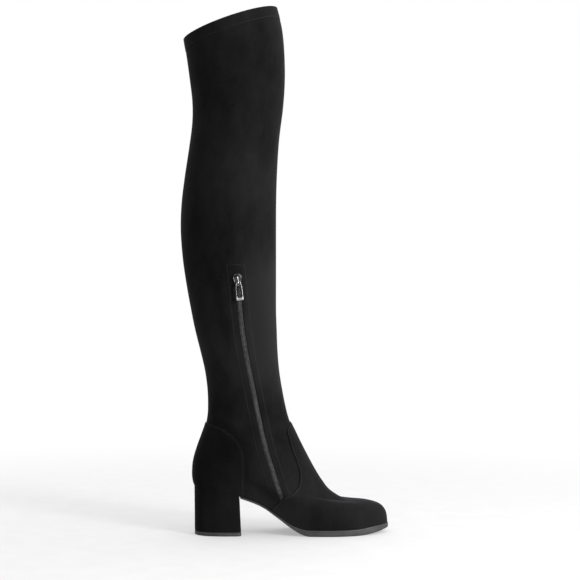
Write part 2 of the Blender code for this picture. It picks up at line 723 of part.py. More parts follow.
def make_pull(place, metal):
    # The frame hangs from its upper bar, whose middle line is the hinge and the object's origin.
    bar, end = PULL_BAR, -(PULL_LENGTH - PULL_BAR / 2)
    shoulder = -PULL_LENGTH * 0.3
    outer = [(PULL_NECK / 2, bar / 2), (PULL_WIDTH / 2, shoulder), (PULL_WIDTH / 2, end + bar),
             (PULL_WIDTH / 2 - bar, end)]
    inner = [(PULL_NECK / 2 - bar, -bar / 2), (PULL_WIDTH / 2 - bar, shoulder),
             (PULL_WIDTH / 2 - bar, end + PULL_END_BAR + bar / 2),
             (PULL_WIDTH / 2 - 1.5 * bar, end + PULL_END_BAR)]
    loops = [side + [(-x, y) for x, y in reversed(side)] for side in (outer, inner)]
    count = len(loops[0])
    points = [(x, y, z) for z in (-PULL_THICKNESS / 2, PULL_THICKNESS / 2)
              for loop in loops for x, y in loop]
    faces = []
    for index in range(count):
        beside = (index + 1) % count
        faces.append((index, beside, count + beside, count + index))
        faces.append(tuple(2 * count + i for i in (count + index, count + beside, beside, index)))
        for loop in (0, count):
            a, b = loop + index, loop + beside
            faces.append((a, b, 2 * count + b, 2 * count + a))
    pull = mesh_piece("zip_pull", points, faces, metal)
    rounded(pull, METAL_ROUNDING)
    pull.matrix_world = place


def make_hardware(metal):
    point, across, up, out = zip_frame(ZIP_TOP)
    slider_place = Matrix.Translation(point) @ axes_matrix(across, up, out)
    make_slider(slider_place, metal)
    hinge = point + up * HINGE_ALONG + out * HINGE_OUT
    plumb = Vector((0.0, 0.0, -1.0))
    down = (plumb - across * plumb.dot(across)).normalized()
    pull_place = Matrix.Translation(hinge) @ axes_matrix(across, -down, across.cross(-down))
    make_pull(pull_place, metal)


def axes_matrix(first, second, third):
    return Matrix((first, second, third)).transposed().to_4x4()


def main():
    for old in list(bpy.data.objects):
        bpy.data.objects.remove(old, do_unlink=True)
    suede = material("black suede", (0.012, 0.012, 0.013), 0.9)
    rubber = material("dark rubber", (0.09, 0.09, 0.09), 0.6)
    lining = material("black lining", (0.02, 0.02, 0.02), 0.85)
    weave = material("zip weave", (0.02, 0.02, 0.02), 0.8)
    coil = material("zip coil", (0.06, 0.06, 0.06), 0.4)
    metal = material("polished metal", (0.75, 0.75, 0.76), 0.18, 1.0)
    make_upper(suede)
    make_panels(suede)
    make_insole(lining)
    make_outsole(rubber)
    make_heel(suede, rubber)
    make_zip(weave, coil)
    make_hardware(metal)


main()
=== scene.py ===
# A black stretch suede thigh high boot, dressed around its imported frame.
import math
import bmesh
import bpy
import numpy as np
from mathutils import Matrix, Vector


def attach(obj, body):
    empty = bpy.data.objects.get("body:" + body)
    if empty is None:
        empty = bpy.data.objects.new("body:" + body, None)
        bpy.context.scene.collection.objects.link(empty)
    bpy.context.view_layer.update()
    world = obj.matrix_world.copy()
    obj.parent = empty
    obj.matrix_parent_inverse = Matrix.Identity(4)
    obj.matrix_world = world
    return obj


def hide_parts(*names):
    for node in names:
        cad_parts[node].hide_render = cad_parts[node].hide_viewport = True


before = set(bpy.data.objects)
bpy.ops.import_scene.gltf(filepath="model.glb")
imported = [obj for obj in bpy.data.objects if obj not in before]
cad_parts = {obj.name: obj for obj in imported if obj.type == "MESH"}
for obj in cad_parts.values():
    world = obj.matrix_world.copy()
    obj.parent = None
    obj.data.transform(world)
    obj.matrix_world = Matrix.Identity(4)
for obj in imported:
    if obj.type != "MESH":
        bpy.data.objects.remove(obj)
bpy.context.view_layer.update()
print("stage: frame loaded")


class Wire:
    # a shader socket that takes part in sums
    def __init__(self, finish, socket):
        self.finish, self.socket = finish, socket

    def __add__(self, other):
        return self.finish.sum("ADD", self, other)

    def __mul__(self, other):
        return self.finish.sum("MULTIPLY", self, other)

    def __rsub__(self, other):
        return self.finish.sum("SUBTRACT", other, self)

    __radd__, __rmul__ = __add__, __mul__


class Finish:
    # the nodes of one material, or of the world, with one method that makes them
    def __init__(self, owner, **values):
        owner.use_nodes = True
        self.material, self.tree = owner, owner.node_tree
        nodes = self.tree.nodes
        self.shader = nodes.get("Principled BSDF") or nodes["Background"]
        self.output = nodes.get("Material Output") or nodes["World Output"]
        self.surface(**values)

    def feed(self, socket, value):
        if isinstance(value, Wire):
            self.tree.links.new(value.socket, socket)
        else:
            socket.default_value = value

    def node(self, kind, settings, sockets, out=0):
        made = self.tree.nodes.new(kind)
        for name, value in settings.items():
            setattr(made, name, value)
        for name, value in sockets.items():
            self.feed(made.inputs[name], value)
        return Wire(self, made.outputs[out])

    def sum(self, operation, first, second):
        return self.node("ShaderNodeMath", {"operation": operation}, {0: first, 1: second})

    def surface(self, **values):
        for socket, value in values.items():
            self.feed(self.shader.inputs[socket.replace("_", " ")], value)

    def axes(self, kind="Object"):
        at = self.node("ShaderNodeTexCoord", {}, {}, kind)
        return [self.node("ShaderNodeSeparateXYZ", {}, {0: at}, axis) for axis in "XYZ"]

    def place(self, **moves):
        at = self.node("ShaderNodeTexCoord", {}, {}, "Object")
        return self.node("ShaderNodeMapping", {}, {"Vector": at, **moves})

    def noise(self, scale, stretch, detail, rough):
        sockets = {"Vector": self.place(Scale=stretch), "Scale": scale, "Detail": detail,
                   "Roughness": rough}
        return self.node("ShaderNodeTexNoise", {}, sockets, "Fac")

    def range(self, value, low, high, newLow=0.0, newHigh=1.0):
        sockets = {"Value": value, "From Min": low, "From Max": high,
                   "To Min": newLow, "To Max": newHigh}
        return self.node("ShaderNodeMapRange", {"interpolation_type": "SMOOTHSTEP"}, sockets)

    def blend(self, share, first, second):
        return self.node("ShaderNodeMix", {"data_type": "RGBA"},
                         {0: share, 6: first, 7: second}, 2)

    def bump(self, height, strength, distance, **under):
        sockets = {"Height": height, "Strength": strength, "Distance": distance, **under}
        return self.node("ShaderNodeBump", {}, sockets, "Normal")


def newFinish(name, **values):
    return Finish(bpy.data.materials.new(name), **values)


def grey(level, blue=0.0):
    return level, level, level + blue, 1.0


# the boot's own form, in the sizes of its frame (metres)
form = {
    "footLength": 0.2433,
    "ballWidth": 0.0754,
    "toeSwing": 0.0050,
    "vampHeight": 0.1415,
    "ankleDepth": 0.1000,
    "ankleWidth": 0.0740,
    "calfDepth": 0.1210,
    "calfWidth": 0.1060,
    "thighDepth": 0.1180,
    "thighWidth": 0.1200,
    "shaftHeight": 0.6660,
    "collarDrop": 0.0403,
    "wall": 0.0016,
    "gap": 0.0003,
    "panelGap": 0.0005,
    "panelThickness": 0.0010,
    "seatHeight": 0.0612,
    "seatLength": 0.0551,
    "soleThickness": 0.0076,
    "shankThickness": 0.0021,
    "toeSpring": 0.0046,
    "heelLength": 0.0585,
    "heelWidth": 0.0520,
    "heelTuck": 0.0005,
    "crownDrop": 0.0022,      # how far the forefoot's top falls to its sides
    "crownLevel": 6.4,        # ring where it falls most
    "crownReach": 1.5,
}
panelBuild = form["panelGap"] + form["panelThickness"]
seatBack = -form["heelLength"] / 2 + panelBuild - form["heelTuck"]
breast = seatBack + form["seatLength"]
soleTop = form["soleThickness"] + form["gap"]

# share of the foot, rise of the feather line, toe lift, fullness of the sole
soleLine = np.array([
    (0.000, 1.000, 0.00, 0.00),
    (0.086, 0.911, 0.00, 0.00),
    (0.178, 0.864, 0.00, 0.00),
    (0.229, 0.786, 0.00, 0.00),
    (0.309, 0.648, 0.00, 0.00),
    (0.356, 0.536, 0.00, 0.03),
    (0.396, 0.405, 0.00, 0.07),
    (0.438, 0.270, 0.00, 0.14),
    (0.473, 0.160, 0.00, 0.26),
    (0.508, 0.078, 0.00, 0.50),
    (0.541, 0.027, 0.00, 0.80),
    (0.585, 0.000, 0.00, 1.00),
    (0.800, 0.000, 0.00, 1.00),
    (0.860, 0.000, 0.22, 1.08),
    (0.920, 0.000, 0.60, 1.10),
    (1.000, 0.000, 0.90, 0.62),
])

# share of the foot, fullness of the medial and of the lateral side
plan = np.array([
    (0.000, 1.45, 1.45),
    (0.050, 1.25, 1.25),
    (0.100, 1.10, 1.10),
    (0.163, 0.97, 0.97),
    (0.244, 0.83, 0.85),
    (0.346, 0.71, 0.79),
    (0.447, 0.72, 0.81),
    (0.569, 0.88, 0.98),
    (0.650, 0.99, 1.08),
    (0.711, 1.06, 1.15),
    (0.793, 1.11, 1.21),
    (0.874, 1.12, 1.24),
    (0.935, 1.08, 1.23),
    (1.000, 1.05, 1.20),
])

# rings of the upper: front x and z, back x and z, half widths, ovals at front and back, dip
footRings = np.array([
    (1.0000, 0.000, 0.0000, 0.000, 0.486, 0.500, 0.00, 0.00, 1.00),
    (0.9988, 0.033, -0.0049, 0.039, 0.486, 0.500, 0.00, 0.00, 0.94),
    (0.9955, 0.079, -0.0086, 0.076, 0.486, 0.500, 0.05, 0.00, 0.87),
    (0.9864, 0.126, -0.0107, 0.122, 0.486, 0.500, 0.20, 0.03, 0.76),
    (0.9622, 0.172, -0.0123, 0.172, 0.486, 0.500, 0.45, 0.08, 0.63),
    (0.9162, 0.201, -0.0123, 0.229, 0.486, 0.500, 0.72, 0.15, 0.49),
    (0.8631, 0.214, -0.0115, 0.284, 0.480, 0.493, 0.92, 0.24, 0.34),
    (0.7781, 0.226, -0.0099, 0.346, 0.473, 0.486, 1.00, 0.34, 0.15),
    (0.6996, 0.314, -0.0058, 0.415, 0.466, 0.480, 1.00, 0.45, 0.05),
    (0.6548, 0.418, 0.0008, 0.496, 0.460, 0.473, 1.00, 0.56, 0.00),
    (0.6215, 0.518, 0.0099, 0.583, 0.460, 0.473, 1.00, 0.67, 0.00),
    (0.5927, 0.616, 0.0197, 0.670, 0.462, 0.476, 1.00, 0.77, 0.00),
    (0.5656, 0.714, 0.0312, 0.763, 0.470, 0.484, 1.00, 0.86, 0.00),
    (0.5397, 0.811, 0.0427, 0.859, 0.478, 0.489, 1.00, 0.93, 0.00),
    (0.5146, 0.910, 0.0522, 0.940, 0.486, 0.496, 1.00, 0.98, 0.00),
    (0.4920, 1.000, 0.0567, 1.000, 0.493, 0.500, 1.00, 1.00, 0.00),
])
shaftRings = {
    "ankle": np.array([
        (0.872, 0.0273, -0.126, 0.0300, 0.500, 0.504),
        (0.820, 0.0753, -0.130, 0.0816, 0.509, 0.509),
        (0.780, 0.1241, -0.163, 0.1345, 0.527, 0.527),
    ]),
    "calf": np.array([
        (0.627, 0.1725, -0.183, 0.1869, 0.390, 0.388),
        (0.619, 0.2202, -0.235, 0.2385, 0.413, 0.408),
        (0.612, 0.2698, -0.279, 0.2922, 0.438, 0.430),
        (0.6116, 0.3365, -0.331, 0.3645, 0.466, 0.455),
        (0.6116, 0.3975, -0.368, 0.4306, 0.490, 0.478),
        (0.6116, 0.4643, -0.388, 0.5008, 0.504, 0.494),
        (0.613, 0.5310, -0.380, 0.5690, 0.504, 0.500),
        (0.622, 0.6034, -0.347, 0.6392, 0.498, 0.498),
    ]),
    "thigh": np.array([
        (0.661, 0.6835, -0.309, 0.7156, 0.443, 0.440),
        (0.703, 0.7598, -0.275, 0.7817, 0.452, 0.450),
        (0.722, 0.8265, -0.274, 0.8375, 0.468, 0.467),
        (0.716, 0.8932, -0.301, 0.8953, 0.484, 0.483),
        (0.691, 0.9504, -0.331, 0.9490, 0.495, 0.495),
        (0.636, 1.0000, -0.365, 1.0000, 0.500, 0.500),
    ]),
}


def lerp(low, high, share):
    return low + (high - low) * share


def circle(count):
    return np.linspace(0, 2 * math.pi, count, endpoint=False)


def ease(share):
    share = np.clip(share, 0.0, 1.0)
    return share * share * (3 - 2 * share)


def betweenRows(rows, place):
    # smooth values at a place between evenly counted rows of numbers
    place = np.asarray(place, float)
    low = np.clip(place.astype(int), 0, len(rows) - 2)
    t = (place - low)[..., None]
    padded = np.vstack([2 * rows[0] - rows[1], rows, 2 * rows[-1] - rows[-2]])
    before, here, there, after = (padded[low + step] for step in range(4))
    return ((-t / 2 + t * t - t ** 3 / 2) * before + (1 - 2.5 * t * t + 1.5 * t ** 3) * here
            + (t / 2 + 2 * t * t - 1.5 * t ** 3) * there + (t ** 3 - t * t) / 2 * after)


def finer(rows, steps=8):
    # smooth steps from each row to the next
    return betweenRows(rows, np.linspace(0, len(rows) - 1, (len(rows) - 1) * steps + 1))


def alongRows(table, column, along):
    # a smooth value of one column at a share of the way; equal neighbours stay level
    along = np.asarray(along, float)
    stations, values = table[:, 0], table[:, column]
    rates = np.diff(values) / np.diff(stations)
    slopes = np.concatenate([rates[:1], (rates[1:] + rates[:-1]) / 2, rates[-1:]])
    slopes[1:-1][(rates[1:] == 0) | (rates[:-1] == 0)] = 0.0
    low = np.clip(np.searchsorted(stations, along) - 1, 0, len(stations) - 2)
    step = stations[low + 1] - stations[low]
    t = (along - stations[low]) / step
    start, end = values[low], values[low + 1]
    curve = (start * (1 + 2 * t) * (1 - t) ** 2 + end * t * t * (3 - 2 * t)
             + step * t * (1 - t) * (slopes[low] * (1 - t) - slopes[low + 1] * t))
    return np.where((t < 0) | (t > 1), lerp(start, end, t), curve)


def featherHeight(along):
    rise = alongRows(soleLine, 1, along) * (form["seatHeight"] - soleTop)
    return soleTop + rise + alongRows(soleLine, 2, along) * form["toeSpring"]


toeHeight = float(featherHeight(1.0))


def realRings():
    rows = footRings.copy()
    rows[:, [0, 2]] = seatBack + rows[:, [0, 2]] * form["footLength"]
    rows[:, 1] = lerp(toeHeight, form["vampHeight"], rows[:, 1])
    rows[:, 3] = lerp(form["seatHeight"], form["vampHeight"], rows[:, 3])
    rows[:, [4, 5]] *= form["ankleWidth"]
    stacked = [rows]
    for part, shares in shaftRings.items():
        shaft = np.ones((len(shares), 9))
        shaft[:, 8] = 0.0
        shaft[:, [0, 2]] = shares[:, [0, 2]] * form[part + "Depth"]
        shaft[:, 1] = lerp(form["vampHeight"], form["shaftHeight"], shares[:, 1])
        topBack = form["shaftHeight"] - form["collarDrop"]
        shaft[:, 3] = lerp(form["vampHeight"], topBack, shares[:, 3])
        shaft[:, [4, 5]] = shares[:, [4, 5]] * form[part + "Width"]
        stacked.append(shaft)
    return np.vstack(stacked)


rings = realRings()
topLevel = len(rings) - 1.0


def skinBase(angle, level):
    # the upper's outer surface: the angle runs from the back over the medial side to the front
    angle, level = np.broadcast_arrays(np.asarray(angle, float), np.asarray(level, float))
    row = betweenRows(rings, level)
    across = (1 - np.cos(angle)) / 2
    medialSide = np.sin(angle) >= 0
    full = np.where(medialSide, alongRows(plan, 1, across), alongRows(plan, 2, across))
    oval = np.where(medialSide, row[..., 4], row[..., 5])
    turned = lerp(row[..., 7], row[..., 6], ease((across - 0.25) / 0.4))
    halfWidth = lerp(full * form["ballWidth"] / 2, oval, turned)
    arch = featherHeight(across) - lerp(form["seatHeight"], toeHeight, across)
    x = lerp(row[..., 2], row[..., 0], across)
    swing = form["toeSwing"] * ((x - seatBack) / form["footLength"]) ** 2
    z = lerp(row[..., 3], row[..., 1], across) + row[..., 8] * arch
    # the top of the forefoot falls away softly to both sides
    beside = ease(4 * np.sin(angle) ** 2) * ease((across - 0.6) / 0.3)
    near = np.exp(-((level - form["crownLevel"]) / form["crownReach"]) ** 2)
    z = z - form["crownDrop"] * near * beside
    return np.stack([x, -np.sin(angle) * halfWidth - swing, z], axis=-1)


def unit(vectors):
    return vectors / np.maximum(np.linalg.norm(vectors, axis=-1, keepdims=True), 1e-12)


def skinSlopes(angle, level):
    turn, rise = 0.01, 0.02
    level = np.asarray(level, float)
    low, high = np.maximum(level - rise, 0.0), np.minimum(level + rise, topLevel)
    around = (skinBase(angle + turn, level) - skinBase(angle - turn, level)) / (2 * turn)
    upward = (skinBase(angle, high) - skinBase(angle, low)) / (high - low)[..., None]
    return around, upward


def skinNormal(angle, level):
    around, upward = skinSlopes(angle, level)
    return unit(np.cross(around, upward))


def skin(angle, level, offset=0.0):
    angle, level = np.broadcast_arrays(np.asarray(angle, float), np.asarray(level, float))
    offset = np.broadcast_to(np.asarray(offset, float), angle.shape)
    return skinBase(angle, level) + skinNormal(angle, level) * offset[..., None]


def onSkin(angle, level, offset):
    # points, and which way is out
    return skin(angle, level, offset), skinNormal(angle, level)


def evenLevels(first, last, longest):
    # levels whose rings lie at most a given length apart anywhere around the leg
    fine = np.linspace(first, last, 1500)
    turns = circle(8)
    lines = skinBase(turns[:, None], fine[None, :])
    steps = np.linalg.norm(np.diff(lines, axis=1), axis=2).max(axis=0)
    run = np.concatenate([[0.0], np.cumsum(steps)])
    count = int(run[-1] / longest) + 1
    return np.interp(np.linspace(0, run[-1], count + 1), run, fine)


print("stage: form ready")


# meshes
def closed(points, **settings):
    # a sheet whose last column meets its first
    return {"points": points, "closed": True, **settings}


def linked(name, data):
    made = bpy.data.objects.new(name, data)
    bpy.context.scene.collection.objects.link(made)
    return made


def linkPiece(name, sheets, finish, slot, body="boot", **settings):
    piece = linked(name, meshOf(name, sheets, **settings))
    piece.data.materials.append(finish.material)
    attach(piece, body)
    return piece


def meshOf(name, sheets, crease=40, weld=0.00002):
    # sheets of points (rows, columns, 3), each with its settings; edges that meet are welded
    points, faces, bright = [], [], []
    count = 0
    for sheet in sheets:
        grid = sheet["points"]
        rows, columns = grid.shape[:2]
        index = count + np.arange(rows * columns).reshape(rows, columns)
        if sheet.get("closed"):
            index = np.concatenate([index, index[:, :1]], axis=1)
        quads = np.stack([index[:-1, :-1], index[:-1, 1:], index[1:, 1:], index[1:, :-1]], -1)
        quads = quads[sheet["keep"]] if "keep" in sheet else quads.reshape(-1, 4)
        points.append(grid.reshape(-1, 3))
        faces.append(quads[:, ::-1] if sheet.get("flip") else quads)
        bright.append(np.broadcast_to(sheet.get("bright", 0.0), (rows, columns)).ravel())
        count += rows * columns
    mesh = bpy.data.meshes.new(name)
    mesh.from_pydata(np.concatenate(points).tolist(), [], np.concatenate(faces).tolist())
    # a painted highlight mask, from the sheets that give one
    if any("bright" in sheet for sheet in sheets):
        mask = mesh.attributes.new("bright", "FLOAT", "POINT")
        mask.data.foreach_set("value", np.concatenate(bright).astype(np.float32))
    work = bmesh.new()
    work.from_mesh(mesh)
    bmesh.ops.remove_doubles(work, verts=work.verts, dist=weld)
    loose = [vertex for vertex in work.verts if not vertex.link_faces]
    bmesh.ops.delete(work, geom=loose, context="VERTS")
    work.to_mesh(mesh)
    work.free()
    mesh.validate()
    mesh.shade_smooth()
    mesh.set_sharp_from_angle(angle=math.radians(crease))
    return mesh


# the zip's line
zipLook = {
    "top": 0.3211,            # height of the slider
    "foot": 0.0436,
    "above": 0.0040,          # slot above the slider's middle
    "below": 0.0018,          # slot below the foot
    "slotWidth": 0.0072,
    "chainWidth": 0.0062,
    "pitch": 0.00150,
    "stitchFromMiddle": 0.0112,
    "facingRise": 0.00045,
    "facingAbove": 0.0195,    # facing above the slider's middle
}
zipTop, zipFoot = zipLook["top"], zipLook["foot"]
zipRoute = np.array([
    (0.000, 0.2067),
    (0.253, 0.2388),
    (0.375, 0.2635),
    (0.501, 0.2926),
    (0.625, 0.3214),
    (0.750, 0.3543),
    (0.873, 0.3966),
    (1.000, 0.4430),
])


def angleAtX(x, level):
    back, front = skinBase(0.0, level)[..., 0], skinBase(math.pi, level)[..., 0]
    return np.arccos(1 - 2 * np.clip((x - back) / (front - back), 0.0, 1.0))


def zipPlace(height):
    # angle and level of the zip's middle line at a height
    height = np.asarray(height, float)
    along = (zipTop - height) / (zipTop - zipFoot)
    x = seatBack + alongRows(zipRoute, 1, along) * form["footLength"]
    low, high = np.zeros_like(x), np.full_like(x, topLevel)
    for _ in range(34):
        middle = (low + high) / 2
        under = skinBase(angleAtX(x, middle), middle)[..., 2] < height
        low, high = np.where(under, middle, low), np.where(under, high, middle)
    return angleAtX(x, low), low


def zipFrames(height):
    # points on the skin, directions across towards the toe, up the zip, and outwards
    height = np.asarray(height, float)
    angle, level = zipPlace(height)
    up = skinBase(*zipPlace(height + 0.002)) - skinBase(*zipPlace(height - 0.002))
    out = skinNormal(angle, level)
    up = unit(up - out * np.sum(up * out, axis=-1, keepdims=True))
    return skinBase(angle, level), np.cross(up, out), up, out


zipHeights = np.linspace(zipFoot - 0.012, zipTop + 0.030, 170)
zipAngles, zipLevels = zipPlace(zipHeights)
zipAcross = zipFrames(zipHeights)[1]
zipTurn = 1 / np.sum(skinSlopes(zipAngles, zipLevels)[0] * zipAcross, axis=1)


def zipAngle(level, distance=0.0):
    # angle of a line beside the zip, at a distance from its middle, towards the toe
    return np.interp(level, zipLevels, zipAngles) + distance * np.interp(level, zipLevels, zipTurn)


print("stage: zip line ready")


# soft folds of the shaft: run of (share from back to front, height), width, rise
folds = {
    "medial": [
        ([(0.37, 0.335), (0.39, 0.295), (0.40, 0.260), (0.40, 0.230)], 0.0070, 0.0030),
        ([(0.49, 0.275), (0.50, 0.245), (0.49, 0.212)], 0.0045, -0.0016),
        ([(0.24, 0.345), (0.26, 0.300), (0.27, 0.262)], 0.0080, -0.0021),
        ([(0.18, 0.236), (0.27, 0.214), (0.34, 0.190)], 0.0100, 0.0027),
        ([(0.79, 0.350), (0.81, 0.290), (0.83, 0.235), (0.85, 0.205)], 0.0120, 0.0012),
        ([(0.10, 0.196), (0.24, 0.204), (0.40, 0.213)], 0.0045, -0.0009),
        ([(0.10, 0.172), (0.22, 0.182), (0.34, 0.197)], 0.0065, 0.0016),
        ([(0.08, 0.157), (0.20, 0.160), (0.34, 0.168)], 0.0045, -0.0011),
        ([(0.12, 0.149), (0.24, 0.144), (0.34, 0.134), (0.42, 0.118)], 0.0042, 0.0014),
        ([(0.44, 0.168), (0.52, 0.150), (0.57, 0.130)], 0.0055, 0.0010),
        ([(0.93, 0.208), (0.84, 0.200), (0.72, 0.203)], 0.0045, -0.0010),
        ([(0.95, 0.188), (0.86, 0.183), (0.76, 0.186)], 0.0045, 0.0009),
        ([(0.93, 0.166), (0.86, 0.160), (0.79, 0.163)], 0.0045, -0.0008),
        ([(0.04, 0.520), (0.20, 0.531), (0.36, 0.520)], 0.0080, -0.0014),
        ([(0.05, 0.548), (0.22, 0.557), (0.40, 0.545)], 0.0090, 0.0012),
        ([(0.05, 0.497), (0.18, 0.503), (0.30, 0.494)], 0.0070, 0.0008),
        ([(0.60, 0.470), (0.66, 0.420), (0.68, 0.370)], 0.0150, 0.0009),
    ],
    "lateral": [
        ([(0.10, 0.172), (0.30, 0.186), (0.48, 0.200)], 0.0080, 0.0015),
        ([(0.08, 0.152), (0.26, 0.162), (0.44, 0.170)], 0.0055, -0.0012),
        ([(0.10, 0.215), (0.30, 0.222), (0.50, 0.232)], 0.0060, -0.0010),
        ([(0.92, 0.195), (0.76, 0.188), (0.60, 0.196)], 0.0055, -0.0012),
        ([(0.95, 0.168), (0.80, 0.163), (0.66, 0.168)], 0.0055, 0.0009),
        ([(0.04, 0.524), (0.22, 0.534), (0.42, 0.520)], 0.0080, -0.0014),
        ([(0.05, 0.550), (0.24, 0.560), (0.44, 0.548)], 0.0090, 0.0012),
        ([(0.62, 0.330), (0.55, 0.300), (0.50, 0.250)], 0.0110, 0.0012),
        ([(0.40, 0.400), (0.36, 0.350), (0.34, 0.300)], 0.0120, -0.0009),
    ],
}
foldReach = 0.050             # metres of surface for one radian round the leg
foldDeepest = 0.0012          # so that no trough meets the lining


def foldRise(angle, height):
    rise = np.zeros(np.broadcast(angle, height).shape)
    for side, runs in folds.items():
        for run, width, depth in runs:
            shares, heights = np.array(run).T
            turns = np.arccos(1 - 2 * shares)
            turns = turns if side == "medial" else 2 * math.pi - turns
            line = finer(np.stack([turns * foldReach, heights], 1))
            fade = np.sin(np.linspace(0.10, 0.90, len(line)) * math.pi)
            away = ((angle[..., None] * foldReach - line[:, 0]) ** 2
                    + (height[..., None] - line[:, 1]) ** 2) / width ** 2
            rise += depth * np.max(np.exp(-away) * fade, axis=-1)
    return np.where(rise < 0, foldDeepest * np.tanh(rise / foldDeepest), rise)


# the suede upper
upperLook = {
    "spacing": 0.0036,
    "hemDepth": 0.0140,
    "hemRise": 0.0005,
    "hemInside": 0.0012,
    "hemStitch": 0.0016,      # stitches above the hem's lower edge
    "seamFade": 0.0016,
}
# rows beside an end of the slot, and columns beside the slot from its edge
slotRows = [-0.004, -0.003, -0.002, -0.001, -0.0005, -0.0001, 0.0, 0.0001, 0.0005, 0.001, 0.002,
            0.003, 0.004]
zipSide = [0.0, 0.00022, 0.0006, 0.0012, 0.0020, 0.0032, 0.0048, 0.0064, 0.0072, 0.0076, 0.0080,
           0.0084, 0.0088, 0.0096, 0.0110]
slotLow, slotHigh = zipFoot - zipLook["below"], zipTop + zipLook["above"]


def slotHalf(level):
    # half the slot's width, with short rounded ends
    height = np.interp(level, zipLevels, zipHeights)
    near = np.minimum(height - slotLow, slotHigh - height) / (zipLook["slotWidth"] / 2)
    near = np.clip(near, 0.0, 1.0)
    return zipLook["slotWidth"] / 2 * (1 - (1 - near) ** 4) ** 0.25


def upperRise(fromZip, fromTop, angle, height):
    # how far the dressed suede stands off the plain skin
    beside, stitch, fade = np.abs(fromZip), zipLook["stitchFromMiddle"], upperLook["seamFade"]
    ends = ease((height - zipFoot + 0.004) / 0.008)
    ends = ends * ease((zipTop + zipLook["facingAbove"] + 0.0012 - height) / fade)
    facing = 1 - ease((beside - stitch) / fade)
    groove = np.exp(-((beside - stitch + 0.0003) / 0.0006) ** 2)
    rise = ends * (facing * zipLook["facingRise"] - groove * 0.00025)
    hem = upperLook["hemDepth"]
    rise += upperLook["hemRise"] * (1 - ease((fromTop - hem) / 0.0012))
    rise -= 0.0003 * np.exp(-((fromTop - hem + upperLook["hemStitch"]) / 0.0007) ** 2)
    return rise + foldRise(angle, height)


def upperColumns(level):
    # angles of one set of columns: back to the zip, the zip's other side to the front, lateral
    backCount, frontCount, lateralCount = 16, 24, 56
    reach = np.array(zipSide)[None, :]
    half = slotHalf(level)[:, None]
    behind = zipAngle(level[:, None], -(half + reach[:, ::-1]))
    ahead = zipAngle(level[:, None], half + reach)
    backPart = lerp(0.0, behind[:, :1], np.linspace(0, 1, backCount + 1)[None, :-1])
    frontPart = lerp(ahead[:, -1:], math.pi, np.linspace(0, 1, frontCount + 1)[None, 1:])
    lateral = np.linspace(math.pi, 2 * math.pi, lateralCount + 1)[None, 1:-1]
    lateral = np.broadcast_to(lateral, (len(level), lateralCount - 1))
    angles = np.concatenate([backPart, behind, ahead, frontPart, lateral], axis=1)
    fromZip = (angles - zipAngle(level)[:, None]) / np.interp(level, zipLevels, zipTurn)[:, None]
    return angles, fromZip, backCount + len(zipSide) - 1


def makeUpper(suede, lining):
    wall, hem = form["wall"], upperLook["hemDepth"]
    ring = skinBase(math.pi, topLevel - 1) - skinBase(math.pi, topLevel)
    hemLevel = topLevel - hem / float(np.linalg.norm(ring))
    slotEnds = np.interp([slotLow, slotHigh], zipHeights, zipLevels)
    hemRows = np.linspace(hemLevel - 0.2 * (topLevel - hemLevel), topLevel, 26)
    middle = evenLevels(0.0, hemLevel, upperLook["spacing"])
    middle = middle[middle < hemRows[0] - 0.01]
    nearEnds = [np.interp(end + np.array(slotRows), zipHeights, zipLevels)
                for end in (slotLow, slotHigh)]
    for rows in nearEnds:
        middle = middle[(middle < rows[0] - 0.005) | (middle > rows[-1] + 0.005)]
    levels = np.sort(np.concatenate([middle, *nearEnds, hemRows]))
    angles, fromZip, edge = upperColumns(levels)
    base = skinBase(angles, levels[:, None])
    fromTop = np.linalg.norm(skinBase(angles, topLevel) - base, axis=2)
    rise = upperRise(fromZip, fromTop, angles, base[..., 2])
    outside = skin(angles, levels[:, None], rise)
    slit = (levels[:-1] >= slotEnds[0] - 1e-6) & (levels[1:] <= slotEnds[1] + 1e-6)
    keep = np.ones((len(levels) - 1, angles.shape[1]), bool)
    keep[slit, edge] = False
    sheets = [closed(outside, keep=keep)]
    # the rim of the slot, turned in
    rows = np.flatnonzero(slit)
    rows = np.append(rows, rows[-1] + 1)
    for column, side in ((edge, 1), (edge + 1, -1)):
        line = [outside[rows, column]]
        for inward, drop in ((0.0001, 0.0003), (0.0001, 0.0010), (-0.0006, 0.0016)):
            turn = np.interp(levels[rows], zipLevels, zipTurn) * inward * side
            line.append(skin(angles[rows, column] + turn, levels[rows], -drop))
        sheets.append({"points": np.stack(line, axis=1), "flip": side < 0})
    # the hem, folded over the topline
    fold = [outside[-1]]
    rim = unit(base[-1] - base[-2])
    for out, up in ((0.0001, 0.0005), (-0.0006, 0.0008), (-0.0014, 0.0008), (-0.0024, 0.0004)):
        fold.append(skin(angles[-1], topLevel, out) + rim * up)
    for down, thick in ((0.0, 1), (0.25, 1), (0.5, 1), (0.75, 1), (0.92, 1), (0.97, 0.6), (1.0, 0)):
        depth = wall + upperLook["hemInside"] * thick
        fold.append(skin(angles[-1], lerp(topLevel, hemLevel, down), -depth))
    sheets.append(closed(np.stack(fold)))
    upper = linkPiece("upper_suede", sheets, suede, "suede")
    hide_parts("upper")
    levels = evenLevels(0.0, hemLevel, 0.008)
    turns = circle(64)
    points = skin(turns[None, :], levels[:, None], -wall)
    linkPiece("shaft_lining", [closed(points, flip=True)], lining, "lining")


# counter and vamp, laid over the upper
panelLook = {
    "spacing": 0.0026,
    "edgeRound": 0.0010,
    "stitchIn": 0.0021,
    "columns": 56,
}
